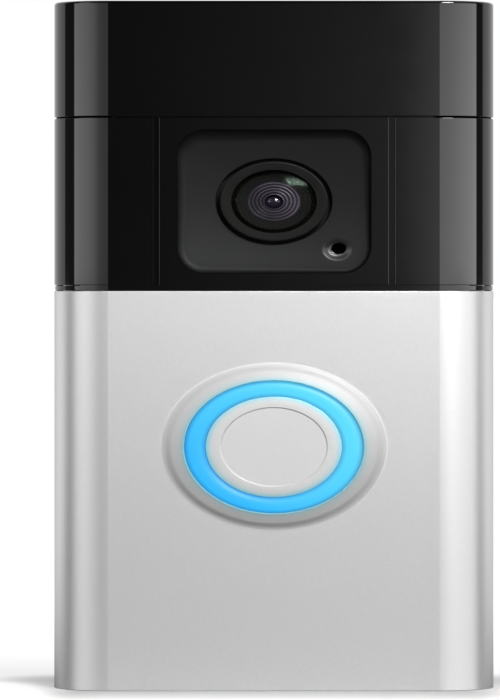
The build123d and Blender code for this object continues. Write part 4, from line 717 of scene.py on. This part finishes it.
def shade(mesh):
    """Smooth shading, but for edges that turn by more than the crease angle."""
    work = bmesh.new()
    work.from_mesh(mesh)
    bmesh.ops.recalc_face_normals(work, faces=work.faces)
    for face in work.faces:
        face.smooth = True
    for edge in work.edges:
        edge.smooth = edge.calc_face_angle(0.0) < math.radians(CREASE)
    work.to_mesh(mesh)
    work.free()


def turned(name, z, profile):
    """A piece turned about the line out of the wall at height z, from (radius, rise) points."""
    loops = []
    for radius, rise in profile:
        turns = [2 * math.pi * n / SEGMENTS for n in range(SEGMENTS if radius > 0 else 1)]
        y = FRONT_Y - rise * MM
        loops.append(
            [(radius * OVAL * MM * math.cos(a), y, z + radius * MM * math.sin(a)) for a in turns]
        )
    return lofted(name, loops)


def arc(centre, wide, high, start, end, steps):
    """Points of a profile on an arc, with angles in degrees from outwards (0) to the viewer (90)."""
    angles = [math.radians(start + (end - start) * n / steps) for n in range(steps + 1)]
    return [(centre[0] + wide * math.cos(a), centre[1] + high * math.sin(a)) for a in angles]


def dome(radius, edge, top, steps):
    """Points of a profile on a ball, from a rim of that radius at the edge's rise up to the top."""
    high = top - edge
    ball_r = (radius**2 + high**2) / (2 * high)
    half = math.degrees(math.asin(radius / ball_r))
    return arc((0, top - ball_r), ball_r, ball_r, 90 - half, 90, steps)[:-1] + [(0, top)]


def ease(value):
    """Goes softly from 0 to 1."""
    inside = min(max(value, 0.0), 1.0)
    return inside * inside * (3 - 2 * inside)


def stands_for(piece, node, slot, body="housing", finish=None):
    """Dresses a piece, lets it ride on a body and shows it in place of a CAD node."""
    piece.data.materials.append(finish or MATERIALS[slot])
    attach(piece, body)
    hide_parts(node)


def light_collar():
    """Raised collar: a fine lip at the light, a sloping crown, a steep edge and a hollow foot."""
    low = back_rise("button_skirt")
    inner_r = HALO_OUT_R + COLLAR_GAP
    lip = COLLAR_LIP
    profile = [(inner_r, low)]
    profile += arc((inner_r + lip, COLLAR_TOP - lip), lip, lip, 180, 70, 6)
    profile += [(CROWN_R + aside, CROWN_LOW + up) for aside, up in CROWN_TURN]
    profile.append((FOOT_IN_R - FOOT_TURN, FOOT_HIGH + FOOT_TURN))
    for n in range(FOOT_STEPS + 1):
        share = n / FOOT_STEPS
        rise = FOOT_THIN + (FOOT_HIGH - FOOT_THIN) * (1 - share) ** FOOT_BEND
        profile.append((FOOT_IN_R + (FOOT_OUT_R - FOOT_IN_R) * share, rise))
    profile += [(FOOT_OUT_R, -FOOT_THIN), (COLLAR_NECK_R, -FOOT_THIN), (COLLAR_NECK_R, low)]
    collar = turned("light_collar", BUTTON_Z, profile)
    stands_for(collar, "button_skirt", "silver", finish=COLLAR_SILVER)


def push_cap():
    """Push button: soft rim beside the light, sunk middle with a fine sloping step."""
    low = back_rise("button_cap")
    hollow = front_rise("button_plunger")
    rim_r = CAP_R + CAP_OVER
    wall_r = CAP_R - CAP_WALL
    sunk = CAP_TOP - CAP_STEP
    profile = [(0, sunk), (CAP_STEP_R - CAP_STEP_IN, sunk), (CAP_STEP_R, sunk)]
    profile += [(CAP_STEP_R + CAP_STEP_SLOPE, CAP_TOP), (CAP_STEP_R + CAP_STEP_OUT, CAP_TOP)]
    profile += arc((rim_r - CAP_SOFT, CAP_TOP - CAP_SOFT), CAP_SOFT, CAP_SOFT, 90, 0, 4)
    profile += [(rim_r, low), (wall_r, low), (wall_r, hollow), (0, hollow)]
    stands_for(turned("push_cap", BUTTON_Z, profile), "button_cap", "button_silver", "button")


def return_seal():
    """Rubber ring behind the button, with a fold round its outside."""
    low = back_rise("button_seal")
    high = front_rise("button_seal")
    outer_r = half_height("button_seal")
    profile = [(SEAL_BORE_R, low), (SEAL_BORE_R, high), (outer_r, high)]
    profile += [(outer_r - SEAL_FOLD, (low + high) / 2), (outer_r, low)]
    ring = turned("return_seal", BUTTON_Z, profile)
    stands_for(ring, "button_seal", "seal_rubber")
    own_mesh(ring)


def lens_trim():
    """Trim round the glass: rounded outer edge, almost flat face, flange behind the pan."""
    low = back_rise("lens_bezel")
    behind = back_rise("lens_pan")
    glass_r = half_height("lens_window") - TRIM_LAP
    seat_r = glass_r + TRIM_SEAT_WIDE
    seat = back_rise("lens_window") + TRIM_SEAT_HIGH
    flange_r = TRIM_R + TRIM_FLANGE
    profile = [(seat_r, low), (flange_r, low), (flange_r, behind), (TRIM_R, behind)]
    profile += arc((TRIM_R - TRIM_SOFT, TRIM_TOP - TRIM_SOFT), TRIM_SOFT, TRIM_SOFT, 0, 80, 6)
    profile += [(TRIM_R - TRIM_FACE_IN, TRIM_TOP - TRIM_FACE_FALL), (glass_r, TRIM_TOP - TRIM_FALL)]
    profile += [(glass_r, seat), (seat_r, seat)]
    stands_for(turned("lens_trim", LENS_Z, profile), "lens_bezel", "bezel_black")


def lens_dome():
    """Cover glass with a full dome."""
    low = back_rise("lens_window")
    rim_r = half_height("lens_window")
    dome_r = rim_r - DOME_INSET
    edge = low + DOME_EDGE
    rim = edge - DOME_RIM
    profile = [(0, low), (rim_r, low), (rim_r, rim), (dome_r, rim)]
    profile += dome(dome_r, edge, TRIM_TOP + DOME_OVER, DOME_STEPS)
    stands_for(turned("lens_dome", LENS_Z, profile), "lens_window", "cover_glass")


def lens_rings():
    """Ridged rings that step down towards the inner lens."""
    low = back_rise("lens_baffle")
    top = front_rise("lens_baffle")
    rim_r = half_height("lens_baffle")
    steps = RING_STEPS * RINGS
    start = top - RING_SUNK
    profile = [(RING_IN_R, low), (rim_r, low), (rim_r, top), (rim_r - RING_RIM_IN, top - RING_RIM_FALL)]
    profile.append((RING_OUT_R + RING_MARGIN, start))
    for n in range(steps + 1):
        inward = n / steps
        wave = math.cos(2 * math.pi * RINGS * inward)
        radius = RING_OUT_R + (RING_IN_R - RING_OUT_R) * inward
        profile.append((radius, start - RING_DROP * inward - RING_RIDGE * (1 - wave) / 2))
    stands_for(turned("lens_rings", LENS_Z, profile), "lens_baffle", "baffle_black")


def lens_eye():
    """Inner lens: a seat in the barrel and a small full dome in the middle of the rings."""
    low = back_rise("front_lens")
    top = front_rise("front_lens")
    seat_r = half_height("front_lens") / OVAL
    seat = top - EYE_HIGH
    profile = [(0, low), (seat_r, low), (seat_r, seat - EYE_BEVEL)]
    profile += dome(RING_IN_R - EYE_GAP, seat, top, EYE_STEPS)
    stands_for(turned("lens_eye", LENS_Z, profile), "front_lens", "lens_glass")


def pan_depth(x, up):
    """Depth of the dish behind the front plane at a point from the lens: soft walls, a bowl, the dimple."""
    aside = abs(x) - PAN_X + PAN_R
    above = abs(up) - PAN_UP + PAN_R
    inset = PAN_R - math.hypot(max(aside, 0), max(above, 0)) - min(max(aside, above), 0)
    wall = PAN_WALL + PAN_WALL_UP * up / PAN_UP - PAN_WALL_X * x / PAN_X
    slope = 1 - (1 - min(inset / wall, 1.0)) ** PAN_WALL_BEND
    depth = PAN_EDGE + slope * (PAN_DEEP + PAN_BOWL * (1 - (up / PAN_UP) ** 2))
    mic = math.hypot((x - MIC_X) / OVAL, up - MIC_UP)
    depth += MIC_DISH_DEEP * ease((MIC_DISH_R - mic) / (MIC_DISH_R - MIC_HOLE_R))
    pit = math.hypot((x - MIC_X - MIC_HOLE_X) / OVAL, up - MIC_UP - MIC_HOLE_UP)
    return depth + MIC_HOLE_DEEP * ease((MIC_HOLE_R - pit) / MIC_HOLE_SOFT)


def pan_outline(count):
    """Points round the pan's rounded rectangle, evenly spaced, as (x, up) from the lens."""
    straight_x = 2 * (PAN_X - PAN_R)
    straight_up = 2 * (PAN_UP - PAN_R)
    bend = math.pi * PAN_R / 2
    runs = [straight_up, bend, straight_x, bend] * 2
    points = []
    for n in range(count):
        along = sum(runs) * n / count
        side = 0
        while along > runs[side]:
            along -= runs[side]
            side += 1
        corner = side // 2
        turn = math.pi / 2 * corner
        reach_out = (PAN_X, PAN_UP)[corner % 2]
        reach_along = (PAN_UP, PAN_X)[corner % 2] - PAN_R
        if side % 2:
            angle = along / PAN_R
            out = reach_out - PAN_R + PAN_R * math.cos(angle)
            across = reach_along + PAN_R * math.sin(angle)
        else:
            out = reach_out
            across = along - reach_along
        points.append(
            (out * math.cos(turn) - across * math.sin(turn), out * math.sin(turn) + across * math.cos(turn))
        )
    return points


def pan_dish():
    """Satin dish round the lens, one closed shell from the lens hole to the panel's edge."""
    behind = back_rise("lens_pan")

    def at(x, up, rise):
        return (x * MM, FRONT_Y - rise * MM, LENS_Z + up * MM)

    outline = pan_outline(PAN_POINTS)
    hole = []
    for x, up in outline:
        reach = math.hypot(x / OVAL, up) / PAN_HOLE_R
        hole.append((x / reach, up / reach))
    loops = [[at(x, up, behind) for x, up in hole]]
    shrink = PAN_LIP_INSET
    loops.append([at(x * shrink, up * shrink, -pan_depth(x, up) - PAN_LIP) for x, up in hole])
    for ring in range(PAN_RINGS + 1):
        share = ring / PAN_RINGS
        spots = [
            (hx + (ox - hx) * share, hu + (ou - hu) * share)
            for (hx, hu), (ox, ou) in zip(hole, outline)
        ]
        loops.append([at(x, up, -pan_depth(x, up)) for x, up in spots])
    loops.append([at(x, up, behind) for x, up in outline])
    stands_for(lofted("pan_dish", loops), "lens_pan", "satin_black")


light_collar()
push_cap()
return_seal()
lens_trim()
lens_dome()
lens_rings()
lens_eye()
pan_dish()


# Studio: sky as a function of direction, lamps, floor and camera
def sky():
    """Studio round the object: white behind, two soft panels at the sides, dark round the camera."""
    world = bpy.data.worlds.new("studio")
    bpy.context.scene.world = world
    world.use_nodes = True
    nodes = Nodes(world.node_tree)
    background = world.node_tree.nodes["Background"]
    background.inputs["Color"].default_value = (1, 1, 1, 1)
    direction = nodes.add("TexCoord").outputs["Generated"]
    up = nodes.axis(direction, "Z")
    forward = nodes.math("MULTIPLY", nodes.axis(direction, "Y"), -1.0)
    azimuth = nodes.math("ARCTAN2", nodes.axis(direction, "X"), forward)
    turn = nodes.span(azimuth, -math.pi, math.pi)
    stops = [(degrees / 360 + 0.5, grey(level / SKY_PEAK)) for degrees, level in SKY_AZIMUTHS]
    around = nodes.math("MULTIPLY", nodes.ramp(turn, stops), SKY_PEAK)
    tall = nodes.span(azimuth, -SKY_MIDDLE, SKY_MIDDLE, SKY_TALL_LEFT, SKY_TALL_RIGHT)
    square = nodes.math("POWER", nodes.math("DIVIDE", up, tall), 2.0)
    window = nodes.math("EXPONENT", nodes.math("MULTIPLY", square, -1.0))
    fade = nodes.span(window, 0.0, 1.0, SKY_ABOVE, 1.0)
    level = nodes.math("MULTIPLY", around, fade)
    path = nodes.add("LightPath")
    behind = nodes.span(nodes.axis(direction, "Y"), SKY_BACK_Y - SKY_BACK_FADE, SKY_BACK_Y)
    mirrored = nodes.math("MULTIPLY", path.outputs["Is Glossy Ray"], behind)
    clear = nodes.math("MAXIMUM", path.outputs["Is Camera Ray"], path.outputs["Is Transmission Ray"])
    seen = nodes.math("MAXIMUM", clear, mirrored)
    mix = nodes.add("Mix", {"Factor": seen, "A": level, "B": 1.0})
    nodes.put(mix.outputs["Result"], background.inputs["Strength"])


def soft_lamp(name, place, aim, size, spread, watts):
    """A flat soft lamp that shines from a place towards a point."""
    data = bpy.data.lights.new(name, "AREA")
    data.shape = "RECTANGLE"
    data.size, data.size_y = size
    data.spread = math.radians(spread)
    data.energy = watts
    lamp = bpy.data.objects.new(name, data)
    bpy.context.scene.collection.objects.link(lamp)
    lamp.location = place
    lamp.visible_camera = False
    lamp.rotation_euler = (Vector(aim) - lamp.location).to_track_quat("-Z", "Y").to_euler()


def floor():
    """Floor that takes the shadow.

    The camera sees it lifted to white away from the object; mirrors and glass see that behind it only. The
    lift is smaller near the object, a painted shade round the footprint on top of the real shadow.
    """
    corners = [(-FLOOR_HALF, -FLOOR_HALF, 0), (FLOOR_HALF, -FLOOR_HALF, 0)]
    corners += [(FLOOR_HALF, FLOOR_HALF, 0), (-FLOOR_HALF, FLOOR_HALF, 0)]
    mesh = bpy.data.meshes.new("floor")
    mesh.from_pydata(corners, [], [(0, 1, 2, 3)])
    plane = bpy.data.objects.new("floor", mesh)
    bpy.context.scene.collection.objects.link(plane)
    plane.location.z = cad_low.z - FLOOR_GAP
    finish = Finish("floor", Roughness=0.8)
    dark, light = grey(FLOOR_TONE - FLOOR_SPREAD), grey(FLOOR_TONE + FLOOR_SPREAD)
    finish.link(finish.ramp(finish.noise(FLOOR_CLOUD), [(0.3, dark), (0.7, light)]), "Base Color")
    finish.shader.inputs["Emission Color"].default_value = (1, 1, 1, 1)
    path = finish.add("LightPath")
    mirrored = finish.math("MAXIMUM", path.outputs["Is Glossy Ray"], path.outputs["Is Transmission Ray"])
    behind = finish.span(finish.axis(finish.place, "Y"), 0.0, FLOOR_BACK)
    mirrored = finish.math("MULTIPLY", mirrored, behind)
    seen = finish.math("MAXIMUM", path.outputs["Is Camera Ray"], mirrored)
    across = finish.axis(finish.place, "X")
    deep = finish.axis(finish.place, "Y")
    stretch = finish.span(deep, -cad_high.y, cad_high.y, FLOOR_STRETCH_FRONT, FLOOR_STRETCH_BACK)
    gap_x = finish.math("SUBTRACT", finish.math("ABSOLUTE", across), FLOOR_SHADE_X)
    gap_x = finish.math("MULTIPLY", finish.math("MAXIMUM", gap_x, 0.0), stretch)
    gap_y = finish.math("SUBTRACT", finish.math("ABSOLUTE", deep), cad_high.y)
    beside = [gap_x, finish.math("MAXIMUM", gap_y, 0.0)]
    squares = finish.math("ADD", *[finish.math("POWER", gap, 2.0) for gap in beside])
    away = finish.span(finish.math("SQRT", squares), 0.0, FLOOR_FADE)
    # painted shade: the lift is smaller near the object
    lift_and_painted_shade = finish.ramp(away, [(place, grey(level)) for place, level in FLOOR_LIFTS])
    finish.link(finish.math("MULTIPLY", seen, lift_and_painted_shade), "Emission Strength")
    mesh.materials.append(finish.material)


def camera():
    """Camera that sees the body where the photograph shows it."""
    data = bpy.data.cameras.new("camera")
    data.sensor_width = SENSOR
    data.lens = SENSOR * CAMERA_AWAY / (PHOTO_HIGH * MM_PER_PX * MM)
    data.shift_x = (PHOTO_WIDE / 2 - BODY_MID_PX) / PHOTO_HIGH
    eye_px = BODY_TOP_PX + (cad_high.z - CAMERA_Z) / (MM_PER_PX * MM)
    data.shift_y = (eye_px - PHOTO_HIGH / 2) / PHOTO_HIGH
    data.clip_start = CAMERA_NEAR
    eye = bpy.data.objects.new("camera", data)
    bpy.context.scene.collection.objects.link(eye)
    eye.location = (0, FRONT_Y - CAMERA_AWAY, CAMERA_Z)
    eye.rotation_euler = (math.pi / 2, 0, 0)
    bpy.context.scene.camera = eye


sky()
for name, values in LAMPS.items():
    soft_lamp(name, **values)
floor()
camera()
bpy.context.scene.view_settings.view_transform = "Standard"
